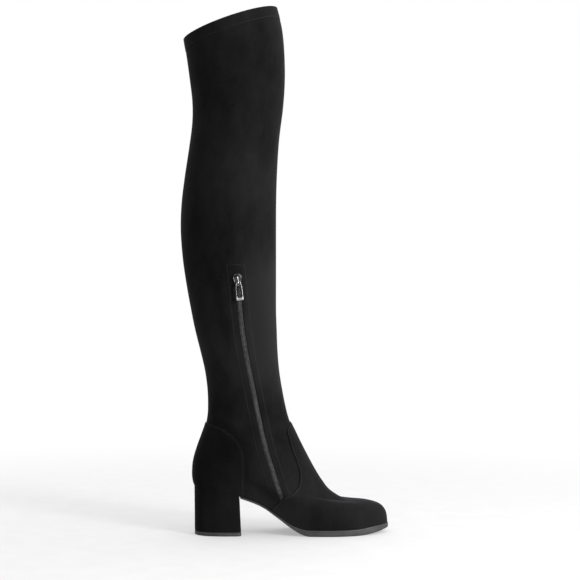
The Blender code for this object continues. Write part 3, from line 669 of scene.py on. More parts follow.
# seam lines from the side: share of the foot's length, share of the vamp's height
seams = {
    "counterMedial": [[
        (0.057, 0.997), (0.124, 0.961), (0.171, 0.917), (0.204, 0.862), (0.227, 0.799),
        (0.242, 0.732), (0.247, 0.622), (0.247, 0.495), (0.247, 0.353), (0.247, 0.155),
    ]],
    "counterLateral": [
        [(0.057, 0.997), (0.092, 0.926), (0.160, 0.806), (0.198, 0.671), (0.252, 0.590),
         (0.318, 0.530), (0.371, 0.495), (0.441, 0.417), (0.482, 0.339)],
        [(0.482, 0.339), (0.385, 0.230), (0.319, 0.155)],
    ],
    "vampMedial": [[
        (0.494, 0.997), (0.471, 0.930), (0.480, 0.866), (0.497, 0.756), (0.519, 0.661),
        (0.535, 0.551), (0.529, 0.459), (0.501, 0.396), (0.452, 0.348), (0.418, 0.290),
        (0.388, 0.233), (0.342, 0.155),
    ]],
    "vampLateral": [
        [(0.494, 0.997), (0.462, 0.926), (0.445, 0.855), (0.449, 0.791), (0.462, 0.721),
         (0.487, 0.594), (0.497, 0.509), (0.498, 0.431), (0.487, 0.332)],
        [(0.487, 0.332), (0.390, 0.230), (0.324, 0.155)],
    ],
}


def seamLine(name):
    line = np.vstack([finer(np.array(run)) for run in seams[name]])
    # it starts a little before its first point
    line = np.vstack([line[0] + (line[0] - line[1]) * 0.4, line])
    return np.stack([seatBack + line[:, 0] * form["footLength"],
                     line[:, 1] * form["vampHeight"]], axis=1)


def seamAngles(name, levels, fromFront):
    # where each ring of the panel meets the seam, as an angle
    line = seamLine(name)
    turns = np.linspace(0.0, math.pi, 260)
    if name.endswith("Lateral"):
        turns = 2 * math.pi - turns
    found = []
    for level in levels:
        ring = skin(turns, level, panelBuild)[:, [0, 2]]
        start, step = ring[:-1, None], (ring[1:] - ring[:-1])[:, None]
        first, run = line[None, :-1], (line[1:] - line[:-1])[None]
        area = step[..., 0] * run[..., 1] - step[..., 1] * run[..., 0]
        area = np.where(np.abs(area) < 1e-14, 1e-14, area)
        gap = first - start
        along = (gap[..., 0] * run[..., 1] - gap[..., 1] * run[..., 0]) / area
        beside = (gap[..., 0] * step[..., 1] - gap[..., 1] * step[..., 0]) / area
        hits = np.argwhere((along >= 0) & (along < 1) & (beside >= 0) & (beside < 1))
        if len(hits):
            row, column = hits[-1] if fromFront else hits[0]
            share = row + along[row, column]
            found.append(np.interp(share, np.arange(len(turns)), turns))
        else:
            found.append(math.pi if fromFront else (0.0 if turns[-1] < 4 else 2 * math.pi))
    return np.array(found)


def inwardTurn(levels, angles, sign):
    # radians of turn for a metre into the panel from its seam
    points = skinBase(angles, levels)
    along = unit(np.gradient(points, axis=0))
    around, upward = skinSlopes(angles, levels)
    inward = unit(np.cross(unit(np.cross(around, upward)), along))
    reach = np.abs(np.sum(around * inward, axis=1))
    return sign / np.maximum(reach, 0.25 * np.linalg.norm(around, axis=1))


def makePanel(name, front, suede):
    # gives back the two lines of stitches beside its seams
    topSeam = seams[name + "Medial"][0][0][1] * form["vampHeight"]
    fine = np.linspace(10, 16, 1200)
    edge = skinBase(math.pi if front else 0.0, fine)[:, 2]
    levels = evenLevels(0.0, float(np.interp(topSeam, edge, fine)), panelLook["spacing"])
    medial, lateral = (seamAngles(name + side, levels, front) for side in ("Medial", "Lateral"))
    sign = 1.0 if front else -1.0
    turnMedial = inwardTurn(levels, medial, sign)
    turnLateral = inwardTurn(levels, lateral, -sign)
    if not front:
        lateral = lateral - 2 * math.pi
    rims = np.array([0.0, 0.00008, 0.00028, 0.0006, 0.0010, 0.0016, 0.0021, 0.0026])
    limit = 0.35 * np.abs(lateral - medial)[:, None] * rims / rims[-1]
    fromMedial, fromLateral = (np.minimum(np.abs(turn[:, None]) * rims, limit)
                               for turn in (turnMedial, turnLateral))
    first = medial[:, None] + sign * fromMedial
    last = lateral[:, None] - sign * fromLateral[:, ::-1]
    inner = lerp(first[:, -1:], last[:, :1], np.linspace(0, 1, panelLook["columns"])[1:-1])
    angles = np.concatenate([first, inner, last], axis=1)
    inside = np.concatenate([rims, np.full(inner.shape[1], 0.02), rims[::-1]])[None, :]
    points = skinBase(angles, levels[:, None])
    fromTop = np.linalg.norm(points - points[-1:], axis=2)
    inside = np.minimum(inside, np.where(fromTop < 0.001, fromTop, 1.0))
    near = np.clip(inside / panelLook["edgeRound"], 0.0, 1.0)
    rise = panelBuild * np.sqrt(np.clip(1 - (1 - near) ** 2, 0.0, 1.0))
    rise = rise - 0.00022 * np.exp(-((inside - panelLook["stitchIn"]) / 0.0006) ** 2)
    folded = foldRise(angles, points[..., 2])
    shape = skin(angles, levels[:, None], np.maximum(rise, 0.00002) + folded)
    shape[0, :, 2] = points[0, :, 2]
    lip = shape[0] - skinNormal(angles[0], 0.0) * 0.0012
    grid = np.concatenate([lip[None], shape])
    panel = linkPiece(name + "_suede", [{"points": grid, "flip": not front}], suede, "suede")
    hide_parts(name)
    lines = []
    for column in (6, -7):
        rise = panelBuild - 0.0002 + folded[2:, column]
        lines.append(onSkin(angles[2:, column], levels[2:], rise))
    return lines


# sole, heel and insole
soleLook = {
    "stands": panelBuild + 0.0008,
    "toeColumns": 150,
    "heelColumns": 40,
}


def soleThickness(along):
    return lerp(form["shankThickness"], form["soleThickness"], alongRows(soleLine, 3, along))


def footShare(x):
    return np.clip((x - seatBack) / form["footLength"], 0, 1)


def sheetBetween(left, right, count=12):
    # a flat sheet between two lines
    shares = np.linspace(0, 1, count)[None, :, None]
    return lerp(left[:, None], right[:, None], shares)


def makeOutsole(rubber):
    start = float(angleAtX(breast, 0.0))
    turns = np.linspace(start, 2 * math.pi - start, soleLook["toeColumns"])
    # inwards, and down: in metres from the top, in shares, or in metres from the floor
    profile = [(-0.0030, 0.0), (-0.0008, 0.0), (-0.00035, 0.0001), (-0.0001, 0.0004),
               (0.0, 0.0008), (0.0, 0.0013), (-0.00022, 0.0015), (-0.00022, 0.0017),
               (0.0, 0.0019), (0.0, 0.30), (0.0, 0.60), (0.0, -0.0008), (-0.0002, -0.0003),
               (-0.0006, 0.0)]
    rows = []
    for index, (inward, drop) in enumerate(profile):
        ring = skin(turns, 0.0, soleLook["stands"] + inward)
        ring[:, 0] = np.maximum(ring[:, 0], breast + form["gap"])
        along = footShare(ring[:, 0])
        top = featherHeight(along) - form["gap"]
        thick = soleThickness(along)
        squeeze = np.minimum(thick / form["soleThickness"], 1.0)
        if index in (9, 10):
            ring[:, 2] = top - thick * drop
        elif index > 10:
            ring[:, 2] = top - thick - drop * squeeze
        else:
            ring[:, 2] = top - drop * squeeze
        rows.append(ring)
    side = np.stack(rows)
    half = side.shape[1] // 2
    sheets = [{"points": side, "flip": True}]
    for ring, flip in ((side[0], True), (side[-1], False)):
        sheets.append({"points": sheetBetween(ring[:half], ring[::-1][:half]), "flip": flip})
    sheets.append({"points": sheetBetween(side[:, 0], side[:, -1])})
    sole = linkPiece("sole_rubber", sheets, rubber, "sole_rubber", weld=0.00001)
    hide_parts("outsole")


def heelOutline(share):
    # D-shaped ring of the heel: the seat's outline at the top, the heel's own size on the floor
    first = float(angleAtX(breast, 0.0))
    count = soleLook["heelColumns"]
    turns = np.linspace(first, -first, 2 * count + 1)
    ring = skin(turns, 0.0, panelBuild)[:, :2]
    back = skin(0.0, 0.0, panelBuild)[0]
    along = np.clip((ring[:, 0] - back) / (breast - back), 0.0, 1.0)
    widest = 2 * float(np.abs(ring[:, 1]).max())
    floor = back + form["heelTuck"] + along * form["heelLength"]
    x = lerp(ring[:, 0], floor, share)
    y = ring[:, 1] * lerp(1.0, form["heelWidth"] / widest, share)
    cross = np.linspace(0, 1, 17)[1:-1]
    hollow = 0.0020 * (1 - (2 * cross - 1) ** 2)
    frontX = x[-1] - hollow
    frontY = lerp(y[-1], y[0], cross)
    reach = np.concatenate([ring[:, 0], np.full(15, breast)])
    return np.concatenate([x, frontX]), np.concatenate([y, frontY]), reach


def roundCorners(points):
    # softens the two breast corners of a ring
    for _ in range(3):
        points = (np.roll(points, 1, axis=0) + 2 * points + np.roll(points, -1, axis=0)) / 4
    return points


def heelRing(share, height):
    x, y, reach = heelOutline(share)
    if height is None:
        height = featherHeight(footShare(reach)) - form["gap"]
    ring = np.stack([x, y, np.broadcast_to(height, x.shape)], axis=1)
    ring[:, :2] = roundCorners(ring[:, :2])
    return ring


def stackOf(rings):
    # rings from one end of a block to the other, with both ends closed
    sheets = [closed(np.stack(rings))]
    shares = (0.0, 0.35, 0.7, 0.999)
    for ring, flip in ((rings[-1], False), (rings[0], True)):
        points = np.stack([lerp(ring, ring.mean(axis=0), share) for share in shares])
        sheets.append(closed(points, flip=flip))
    return sheets


def drawnIn(ring, middle, distance):
    return ring + unit((middle - ring) * np.array([1.0, 1.0, 0.0])) * distance


def makeHeel(suede, rubber):
    joint = 0.0048
    top = heelRing(0.0, None)
    bottom = heelRing(1.0 - joint / (form["seatHeight"] - joint), joint + form["gap"])
    middle = (top + bottom).mean(axis=0) / 2
    # rounded edges at the top and at the foot
    ends = {0.0: 0.0004, 0.004: 0.0001, 0.985: 0.00005, 0.995: 0.0002, 1.0: 0.0006}
    shares = [0.0, 0.004, 0.012, 0.03, 0.1, 0.2, 0.3, 0.4, 0.5, 0.6, 0.7, 0.8, 0.9, 0.96, 0.985,
              0.995, 1.0]
    rows = [drawnIn(lerp(top, bottom, share), middle, ends.get(share, 0.0)) for share in shares]
    block = linkPiece("heel_suede", stackOf(rows), suede, "suede")
    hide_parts("heel_block")
    layers = [(joint, 0.0003), (joint - 0.00025, 0.0), (joint - 0.0014, 0.0),
              (joint - 0.0016, 0.0002), (joint - 0.0018, 0.0), (0.0006, 0.0), (0.0002, 0.0002),
              (0.0, 0.0006)]
    rows = []
    for height, inward in layers:
        ring = heelRing(1.0, height)
        rows.append(drawnIn(ring, ring.mean(axis=0), inward))
    lift = linkPiece("top_lift_rubber", stackOf(rows), rubber, "sole_rubber")
    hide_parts("heel_top_lift")


def makeInsole(lining):
    offset, thick = -form["wall"] - 0.0009, 0.0027
    turns = np.linspace(0.0, math.pi, 90)
    medial, lateral = skin(turns, 0.0, offset), skin(2 * math.pi - turns, 0.0, offset)
    y = np.interp(medial[:, 0], lateral[:, 0], lateral[:, 1])
    lateral = np.stack([medial[:, 0], y, medial[:, 2]], axis=1)
    floor = featherHeight(footShare(medial[:, 0]))[:, None]
    top = sheetBetween(medial, lateral, 16)
    low = top.copy()
    top[..., 2] = floor + thick + 0.0004 * (1 - (2 * np.linspace(0, 1, 16) - 1) ** 2)
    low[..., 2] = floor + 0.0001
    rim = np.stack([np.concatenate([face[:, 0], face[::-1, -1]]) for face in (low, top)])
    sheets = [{"points": top, "flip": True}, {"points": low}, closed(rim)]
    sock = linkPiece("sock", sheets, lining, "lining")
    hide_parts("insole")


# the closed zip
def makeZip(weave, coil):
    low, high = slotLow + 0.0006, slotHigh - 0.0006
    count = 2 * int((high - low) / zipLook["pitch"])
    points, toe, up, out = zipFrames(np.linspace(low, high, count))
    turns = circle(8)
    stations = np.array([0.0, 0.04, 0.16, 0.5, 0.82, 0.95, 1.0])[:, None, None]
    swell = np.array([0.15, 0.7, 1.0, 1.0, 0.9, 0.55, 0.1])[:, None, None]
    lift = (np.cos(turns) * 0.00052)[None, :, None] * swell
    wide = (np.sin(turns) * 0.00050)[None, :, None] * swell
    lean = 0.00045 * (1 - stations)
    sheets = []
    for index in range(count):
        side = 1 if index % 2 else -1
        reach = side * lerp(-0.0005, zipLook["chainWidth"] / 2, stations)
        middle = points[index] - out[index] * 0.00062
        shape = middle + toe[index] * reach + out[index] * lift + up[index] * (wide + lean)
        sheets.append(closed(shape, flip=side > 0))
    chain = linkPiece("zip_chain", sheets, coil, "zip_coil", crease=60)
    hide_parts("zip_teeth")
    angles, levels = zipPlace(np.linspace(zipFoot - 0.006, zipTop + 0.010, 120))
    reach = np.linspace(-0.0088, 0.0088, 13)
    angles = angles[:, None] + np.interp(levels, zipLevels, zipTurn)[:, None] * reach
    rib = np.where(np.abs(np.abs(reach) - 0.0034) < 0.0008, 0.0001, 0.0)
    face = skin(angles, levels[:, None], -form["wall"] - 0.0006 + rib[None, :])
    back = skin(angles, levels[:, None], -form["wall"] - 0.0011)
    sheets = [{"points": face}, {"points": back, "flip": True},
              {"points": np.stack([face[:, 0], back[:, 0]])},
              {"points": np.stack([face[:, -1], back[:, -1]]), "flip": True}]
    tape = linkPiece("zip_tape_weave", sheets, weave, "zip_weave")
    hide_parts("zip_tape")


# stitches
stitchLook = {"pitch": 0.0027, "length": 0.0019, "thick": 0.00026, "sunk": 0.00008}


def alongLine(points, normals, pitch):
    # even places on a line of points, with the direction there
    run = np.concatenate([[0.0], np.cumsum(np.linalg.norm(np.diff(points, axis=0), axis=1))])
    count = max(int(run[-1] / pitch), 1)
    places = (np.arange(count) + 0.5) * run[-1] / count

    def sample(values, shift=0.0):
        return np.stack([np.interp(places + shift, run, values[:, i]) for i in range(3)], axis=1)

    step = 0.0004
    return sample(points), unit(sample(points, step) - sample(points, -step)), unit(sample(normals))


def stitchSheets(points, normals):
    at, ahead, out = alongLine(points, normals, stitchLook["pitch"])
    beside = np.cross(ahead, out)
    thick = stitchLook["thick"]
    turns = circle(6)
    stations = np.array([-0.5, -0.42, -0.2, 0.2, 0.42, 0.5])[:, None, None] * stitchLook["length"]
    swell = np.array([0.1, 0.65, 1.0, 1.0, 0.65, 0.1])[:, None] * thick
    arch = np.array([-1.2, -0.3, 0.3, 0.3, -0.3, -1.2])[:, None] * thick
    lift = (np.sin(turns) * swell * 0.8 + arch - stitchLook["sunk"])[..., None]
    wide = (np.cos(turns) * swell)[..., None]
    return [closed(at[index] + ahead[index] * stations + beside[index] * wide
                   + out[index] * lift, flip=True) for index in range(len(at))]


def zipStitchLines():
    # both sides of the zip, and across above it
    low, high = zipFoot + 0.001, zipTop + zipLook["facingAbove"] - 0.0008
    levels = zipPlace(np.linspace(low, high, 220))[1]
    reach = zipLook["stitchFromMiddle"] - 0.0003
    farFromTop = np.ones_like(levels)
    lines = []
    for distance in (-reach, reach):
        turned = zipAngle(levels, distance)
        height = skinBase(turned, levels)[:, 2]
        keep = height > 0.030
        rise = upperRise(np.full_like(levels, distance), farFromTop, turned, height)
        lines.append(onSkin(turned[keep], levels[keep], rise[keep]))
    turned = zipAngle(levels[-1], np.linspace(-1, 1, 12) * reach)
    top = np.full_like(turned, levels[-1])
    lines.append(onSkin(turned, top, 0.0003))
    return lines


def hemStitchLine():
    turns = np.linspace(0, 2 * math.pi, 260)
    fall = upperLook["hemDepth"] - upperLook["hemStitch"]
    levels = np.full_like(turns, topLevel)
    levelRise = 0.034             # metres between two rings near the topline
    for _ in range(6):
        away = np.linalg.norm(skinBase(turns, topLevel) - skinBase(turns, levels), axis=1)
        levels = levels - (fall - away) / levelRise
    return [onSkin(turns, levels, 0.00015)]


def makeStitches(lines, thread):
    sheets = [sheet for points, normals in lines for sheet in stitchSheets(points, normals)]
    linkPiece("stitching", sheets, thread, "suede", weld=0.000001)


# slider and pull
hardware = {
    "sliderLength": 0.0150,
    "sliderWidth": 0.0110,
    "sliderThickness": 0.0018,
    "sliderLift": 0.0005,
    "bailLength": 0.0090,
    "bailWidth": 0.0018,
    "bailThickness": 0.0009,
    "pullLength": 0.0235,
    "pullWidth": 0.0088,
    "pullNeck": 0.0060,
    "pullBar": 0.0014,
    "pullEndBar": 0.0030,
    "pullThickness": 0.0013,
}
pullSweep = math.hypot(hardware["pullBar"], hardware["pullThickness"]) / 2
bailRoom = 2 * (pullSweep + form["gap"]) + form["gap"]


def roundOutline(corners, radius, steps=5):
    # a closed outline with its corners rounded
    outline = []
    for index, corner in enumerate(corners):
        here = np.array(corner)
        before = np.array(corners[index - 1]) - here
        after = np.array(corners[(index + 1) % len(corners)]) - here
        start, end = (here + unit(way) * min(radius, np.linalg.norm(way) * 0.45)
                      for way in (before, after))
        for share in np.linspace(0, 1, steps):
            outline.append(lerp(lerp(start, here, share), lerp(here, end, share), share))
    return np.array(outline)


def inset(outline, distance):
    # a closed outline moved inwards
    ahead = unit(np.roll(outline, -1, axis=0) - outline)
    behind = unit(outline - np.roll(outline, 1, axis=0))
    along = unit(ahead + behind)
    normal = np.stack([-along[:, 1], along[:, 0]], axis=1)
    area = np.sum(outline[:, 0] * np.roll(outline[:, 1], -1)
                  - np.roll(outline[:, 0], -1) * outline[:, 1])
    return outline + normal * distance * (1 if area > 0 else -1)


def flatRing(outline, height):
    return np.concatenate([outline, np.full((len(outline), 1), height)], axis=1)


def platePoints(outline, low, high, edge, crown):
    # rings of a plate with rounded edges and a crown, from its underside to its top
    rows = []
    for share, lower in ((1.0, 1), (0.3, 1), (0.0, 1), (0.0, 0), (0.3, 0), (1.0, 0)):
        drop = edge * (1 - math.sqrt(1 - (1 - share) ** 2)) if share < 1 else 0.0
        height = low + drop if lower else high - drop
        rows.append(flatRing(inset(outline, edge * share), height))
    rows.append(flatRing(outline * 0.55, high + crown * 0.8))
    rows.append(flatRing(outline * 0.05, high + crown))
    return np.stack(rows)


def zipHardwareFrame():
    return [row[0] for row in zipFrames(np.array([zipTop]))]


def placed(points, origin, across, up, out):
    return origin + points[..., :1] * across + points[..., 1:2] * up + points[..., 2:] * out


def makeSlider(metal):
    here = zipHardwareFrame()
    halfLong, halfWide = hardware["sliderLength"] / 2, hardware["sliderWidth"] / 2
    right = [(0.58, -1.0), (0.74, -0.45), (0.98, 0.10), (0.98, 0.50), (0.74, 0.86), (0.34, 1.0)]
    right = [(halfWide * x, halfLong * y) for x, y in right]
    outline = roundOutline(right + [(-x, y) for x, y in reversed(right)], 0.0016)
    low = hardware["sliderLift"]
    high = low + hardware["sliderThickness"]
    plate = platePoints(outline, low, high - 0.0002, 0.00035, 0.0002)
    under = np.stack([plate[0], plate[0] * [0.02, 0.02, 1.0]])
    sheets = [closed(placed(plate, *here)), closed(placed(under, *here), flip=True)]
    # side flanges, pressed down around the chain
    run = np.linspace(-0.80, 0.72, 14)
    reach = np.interp(run, [-0.8, -0.1, 0.25, 0.5, 0.72], [0.56, 0.76, 0.88, 0.86, 0.74])
    for side in (-halfWide, halfWide):
        line = np.stack([side * reach, run * halfLong, np.full_like(run, high + 0.00005)], axis=1)
        sheets.append(flange(line, here))
    # the bail's arch
    end, crown, rise = hardware["bailLength"] / 2, high + bailRoom, hardware["bailThickness"]
    path = [(-end + rise / 2, high - 0.0004), (-end + rise / 2, crown - 0.0006),
            (-end + 0.0011, crown + rise * 0.40), (-end + 0.0024, crown + rise / 2)]
    path = finer(np.array(path + [(-x, y) for x, y in reversed(path)]), 6)
    ahead = unit(np.gradient(path, axis=0))[:, None]
    section = roundOutline([(-1, -1), (1, -1), (1, 1), (-1, 1)], 0.7, 3)
    swell = 1 - 0.18 * np.abs(np.linspace(-1, 1, len(path)))
    wide = section[:, 0] * hardware["bailWidth"] / 2 * swell[:, None]
    thick = section[:, 1] * rise / 2
    arch = np.stack([wide, path[:, None, 0] - ahead[..., 1] * thick,
                     path[:, None, 1] + ahead[..., 0] * thick], axis=2)
    # painted highlight along the bail's arch, stronger at its sides
    bright = 0.15 + 0.75 * ease((np.abs(path[:, :1]) / end - 0.45) / 0.3)
    sheets.append(closed(placed(arch, *here), flip=True, bright=bright))
    slider = linkPiece("slider_metal", sheets, metal, "zip_metal", crease=50)
    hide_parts("zip_slider")


def flange(line, here):
    # a flattened round bar with closed ends, along a line in the slider's own plane
    radius, flat = 0.00042, 0.5
    turns = circle(10)
    lift = np.array([0.0, 0.0, 1.0])
    beside = unit(np.cross(unit(np.gradient(line, axis=0)), lift))
    swell = np.ones((len(line), 1, 1))
    swell[[0, -1]] = 0.05
    swell[[1, -2]] = 0.8
    grid = (line[:, None] + beside[:, None] * (np.cos(turns) * radius)[None, :, None] * swell
            + lift * (np.sin(turns) * radius * flat)[None, :, None] * swell)
    return closed(placed(grid, *here), flip=True)


def makePull(metal):
    point, toe, up, out = zipHardwareFrame()
    bar, endBar, neck = hardware["pullBar"], hardware["pullEndBar"], hardware["pullNeck"]
    along = -(hardware["bailLength"] / 2 - hardware["bailThickness"] - pullSweep - form["gap"])
    away = hardware["sliderLift"] + hardware["sliderThickness"] + bailRoom / 2
    hinge = point + up * along + out * away
    plumb = np.array([0.0, 0.0, -1.0])
    upright = -unit(plumb - toe * np.dot(plumb, toe))
    end, shoulder = -(hardware["pullLength"] - bar / 2), -hardware["pullLength"] * 0.3
    edgeX, above = hardware["pullWidth"] / 2, end + endBar + bar / 2 + 0.0006
    outer = [(neck / 2, bar / 2), (edgeX, shoulder), (edgeX, above), (edgeX, end + bar / 2),
             (edgeX - bar / 2, end)]
    inner = [(neck / 2 - bar, -bar / 2), (edgeX - bar, shoulder), (edgeX - bar, above),
             (edgeX - bar, end + endBar + bar / 2), (edgeX - 1.5 * bar, end + endBar)]
    half, edge = hardware["pullThickness"] / 2, 0.00035
    rows = []
    for corners, radius, sign in ((outer, 0.0012, 1), (inner, 0.0007, -1)):
        loop = roundOutline(corners + [(-x, y) for x, y in reversed(corners)], radius, 6)
        section = [(1.0, -half), (0.3, -half + edge * 0.3), (0.0, -half + edge),
                   (0.0, half - edge), (0.3, half - edge * 0.3), (1.0, half)]
        rows += [flatRing(inset(loop, sign * edge * share), height)
                 for share, height in section[::sign]]
    flat = np.stack(rows + rows[:1])
    # painted highlight on the end bar, and a weaker one on the side towards the toe
    bright = np.where(flat[..., 1] < end + endBar + bar / 2 + 0.0001, 0.60, 0.0)
    bright = np.maximum(bright, np.where(flat[..., 0] > neck / 2 - bar, 0.25, 0.0))
    grid = placed(flat, hinge, toe, upright, np.cross(toe, upright))
    pull = linkPiece("pull_metal", [closed(grid, bright=bright)], metal, "zip_metal", body="pull",
                     crease=50)
    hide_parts("zip_pull")


# finishes
suedeLook = {
    "dark": grey(0.0040, 0.0003),
    "light": grey(0.0150, 0.0007),
    "heelPaintedShade": 0.62,        # painted shade: how bright counter and heel are painted, against the shaft
    "grain": 0.35,
}


def suedeFinish():
    finish = newFinish("black_stretch_suede", Sheen_Weight=0.05, Sheen_Roughness=0.45, IOR=1.35,
                       Sheen_Tint=(0.92, 0.93, 1.0, 1.0), Specular_IOR_Level=0.05)
    fibre = finish.noise(2100.0, (1.0, 1.0, 0.55), 2.0, 0.6)
    tufts = finish.noise(620.0, (1.0, 1.0, 0.6), 3.0, 0.6)
    brushed = finish.noise(80.0, (1.0, 1.0, 0.6), 5.0, 0.65)
    broad = finish.noise(15.0, (1.0, 1.0, 0.5), 2.0, 0.5)
    scuff = finish.range(finish.noise(34.0, (1.3, 1.3, 0.5), 5.0, 0.7), 0.60, 0.74)
    # painted light: paler at the shin, where light falls from the toe's side; the calf lighter
    # towards the back
    x, _, z = finish.axes()
    shinPaintedLight = finish.range(z, 0.150, 0.230) * finish.range(z, 0.30, 0.37, 1.0, 0.0)
    shinPaintedLight = shinPaintedLight * finish.range(x, 0.010, 0.058, 0.0, 0.72)
    calf = finish.range(z, 0.160, 0.200) * finish.range(z, 0.230, 0.275, 1.0, 0.0)
    calf = calf * finish.range(x, -0.020, 0.030, 0.50, 0.10)
    # random nap tone, with the painted light at the shin and the lighter calf added in
    napAndPaintedLight = (shinPaintedLight + calf + finish.range(brushed, 0.28, 0.74) * 0.24
           + finish.range(broad, 0.34, 0.66) * 0.46 + finish.range(tufts, 0.30, 0.70) * 0.14
           + scuff * 0.14)
    # painted shade: the back of the boot is painted darker low down, at counter and heel
    low = finish.range(z, 0.110, 0.155, 1.0, 0.0)
    shade = 1 - low * finish.range(x, 0.024, 0.050, 1 - suedeLook["heelPaintedShade"], 0.0)
    # colour from random nap tone and the painted light at the shin
    worn = finish.blend(napAndPaintedLight, suedeLook["dark"], suedeLook["light"])
    soft = finish.bump(brushed, 0.10, 0.0006)
    height = fibre * 0.45 + tufts * 0.55
    finish.surface(Base_Color=finish.blend(shade, grey(0.0), worn),
                   Roughness=finish.range(napAndPaintedLight, 0.0, 1.0, 0.98, 0.86),
                   Normal=finish.bump(height, suedeLook["grain"], 0.00025, Normal=soft))
    return finish


# plain finishes: noises as scale, stretch, detail, roughness; spans as the ends of a smooth step
plainLooks = {
    "black_lining": {
        "shader": {"Sheen_Weight": 0.10, "Sheen_Roughness": 0.5},
        "stain": (45.0, (1.0, 1.0, 1.0), 3.0, 0.5),
        "span": (0.3, 0.7),
        "colours": (grey(0.010, 0.001), grey(0.018, 0.001)),
        "rough": (0.3, 0.7, 0.80, 0.92),
        "relief": (1500.0, (1.0, 1.0, 0.3), 2.0, 0.6),
        "bump": (0.25, 0.0002),
    },
    "grey_sole_rubber": {
        "shader": {"IOR": 1.5, "Specular_IOR_Level": 0.45},
        "stain": (70.0, (1.0, 1.0, 2.5), 5.0, 0.65),
        "span": (0.30, 0.72),
        "colours": (grey(0.029, 0.001), grey(0.050, 0.002)),
        "rough": (0.3, 0.7, 0.62, 0.48),
        "relief": (900.0, (1.0, 1.0, 1.0), 3.0, 0.6),
        "bump": (0.18, 0.0002),
    },
    "zip_tape_fabric": {
        "shader": {"Sheen_Weight": 0.15, "Sheen_Roughness": 0.5, "Roughness": 0.85},
        "stain": (1300.0, (0.25, 0.25, 1.0), 2.0, 0.5),
        "colours": (grey(0.008, 0.001), grey(0.022, 0.002)),
        "bump": (0.4, 0.0002),
    },
    "dark_coil": {
        "shader": {"IOR": 1.5},
        "stain": (260.0, (1.0, 1.0, 1.0), 3.0, 0.6),
        "span": (0.3, 0.7),
        "colours": (grey(0.017, 0.001), grey(0.070, 0.003)),
        "rough": (0.3, 0.7, 0.34, 0.48),
        "bump": (0.08, 0.0002),
    },
    "black_thread": {
        "shader": {"Sheen_Weight": 0.1},
        "stain": (2600.0, (1.0, 1.0, 0.6), 2.0, 0.6),
        "colours": (grey(0.005, 0.001), grey(0.012, 0.001)),
        "rough": (0.2, 0.8, 0.5, 0.7),
        "bump": (0.2, 0.0001),
    },
}


def plainFinish(name):
    look = plainLooks[name]
    finish = newFinish(name, **look["shader"])
    stain = finish.noise(*look["stain"])
    relief = finish.noise(*look["relief"]) if "relief" in look else stain
    share = finish.range(stain, *look["span"]) if "span" in look else stain
    if "rough" in look:
        finish.surface(Roughness=finish.range(stain, *look["rough"]))
    finish.surface(Base_Color=finish.blend(share, *look["colours"]),
                   Normal=finish.bump(relief, *look["bump"]))
    return finish


def metalFinish():
    finish = newFinish("polished_zip_metal", Metallic=1.0)
    worn = finish.noise(420.0, (1.0, 1.0, 1.0), 4.0, 0.6)
    fine = finish.noise(2400.0, (1.0, 1.0, 0.2), 2.0, 0.5)
    dark = finish.blend(finish.range(worn, 0.35, 0.7), grey(0.13, 0.005), grey(0.24, 0.01))
    # painted highlight: a pale metal colour where the mask is set
    bright = finish.node("ShaderNodeAttribute", {"attribute_name": "bright"}, {}, "Fac")
    finish.surface(Base_Color=finish.blend(bright, dark, grey(0.90, 0.01)),
                   Roughness=finish.range(worn, 0.3, 0.7, 0.12, 0.20) + bright * 0.30,
                   Normal=finish.bump(fine, 0.04, 0.0001))
    return finish


suede, metal = suedeFinish(), metalFinish()
lining, rubber, weave, coil, thread = (plainFinish(name) for name in plainLooks)
print("stage: finishes ready")
makeUpper(suede, lining)
print("stage: upper ready")
lines = makePanel("counter", False, suede) + makePanel("vamp", True, suede)
print("stage: panels ready")
makeOutsole(rubber)
makeHeel(suede, rubber)
makeInsole(lining)
print("stage: sole and heel ready")
makeZip(weave, coil)
makeStitches(lines + zipStitchLines() + hemStitchLine(), thread)
makeSlider(metal)
makePull(metal)
print("stage: zip and stitches ready")


# floor, light and camera
studio = {
    "cameraAt": (-0.0673, -1.700, 0.3085),
    "aimAt": (0.0920, 0.0, 0.3085),
    "lens": 83.1,
    "floorSize": 4.0,
    "floorShade": 0.60,       # how much of the floor is shaded, next to the boot
    "floorGlow": 0.92,
    "floorFill": 0.40,        # light that the floor gives back to the boot
    "roomLight": 0.05,
    "topLight": 1.20,
    "toeSideLight": 1.20,
    "backLight": 0.45,
    "lampAt": (1.05, -1.05, 0.60),
    "lampAim": (0.04, 0.0, 0.33),
    "lampSize": (0.35, 0.9),
    "lampPower": 21.0,
}


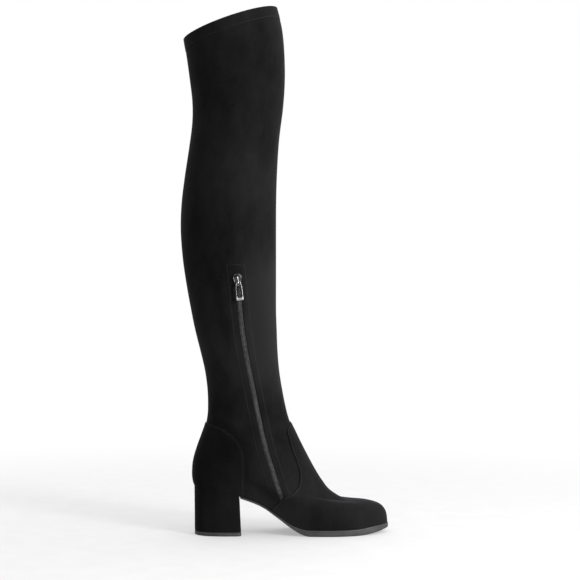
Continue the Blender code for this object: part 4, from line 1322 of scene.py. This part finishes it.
def makeFloor():
    size = studio["floorSize"]
    x, y = np.meshgrid(*[np.linspace(-size, size, 33)] * 2)
    finish = newFinish("pale_floor", Specular_IOR_Level=0.2)
    at = finish.place(Location=(0.02, 0.0, 0.0), Scale=(0.9, 0.9, 0.9))
    near = finish.node("ShaderNodeTexGradient", {"gradient_type": "SPHERICAL"}, {"Vector": at},
                       "Fac")
    grain = finish.noise(30.0, (1.0, 1.0, 1.0), 2.0, 0.5)
    colour = finish.blend(finish.range(grain, 0.3, 0.7), grey(0.66), grey(0.69))
    finish.surface(Base_Color=colour, Roughness=0.75)
    # the floor glows white for the camera, and less for the boot
    paper = finish.blend(finish.range(near, 0.05, 0.90), grey(1.0), grey(studio["floorGlow"]))
    seen = finish.node("ShaderNodeLightPath", {}, {}, "Is Camera Ray")
    paper = finish.blend(seen, grey(studio["floorFill"]), paper)
    glow = finish.node("ShaderNodeEmission", {}, {"Color": paper, "Strength": 1.0})
    lit = Wire(finish, finish.shader.outputs[0])
    share = finish.range(near, 0.05, 0.75, 0.0, studio["floorShade"])
    mixed = finish.node("ShaderNodeMixShader", {}, {0: share, 1: glow, 2: lit})
    finish.feed(finish.output.inputs["Surface"], mixed)
    floor = linked("floor", meshOf("floor", [
        {"points": np.stack([x, y, np.full_like(x, -0.00002)], axis=2)}]))
    floor.data.materials.append(finish.material)


def aimed(name, data, at, aim):
    made = linked(name, data)
    made.location = at
    made.rotation_euler = (Vector(aim) - Vector(at)).to_track_quat("-Z", "Y").to_euler()
    return made


def lightRoom(room):
    # white behind the boot, and soft light from above, from the toe's side and from behind
    x, y, z = room.axes("Generated")
    glow = (studio["roomLight"] + room.range(z, 0.05, 0.95, 0.0, studio["topLight"])
            + room.range(x, 0.15, 0.90, 0.0, studio["toeSideLight"])
            + room.range(y, 0.10, 0.90, 0.0, studio["backLight"]))
    seen = room.node("ShaderNodeLightPath", {}, {}, "Is Camera Ray")
    room.surface(Color=grey(1.0), Strength=seen + (1 - seen) * glow)


def makeStudio():
    makeFloor()
    scene = bpy.context.scene
    scene.world = bpy.data.worlds.new("studio")
    lightRoom(Finish(scene.world))
    light = bpy.data.lights.new("toe_side_light", "AREA")
    light.shape = "RECTANGLE"
    light.size, light.size_y = studio["lampSize"]
    light.energy = studio["lampPower"]
    aimed("toe_side_light", light, studio["lampAt"], studio["lampAim"])
    scene.view_settings.view_transform = "Standard"
    scene.view_settings.look = "None"
    lens = bpy.data.cameras.new("camera")
    lens.lens, lens.sensor_width = studio["lens"], 36.0
    scene.camera = aimed("camera", lens, studio["cameraAt"], studio["aimAt"])


makeStudio()
print("stage: studio ready")
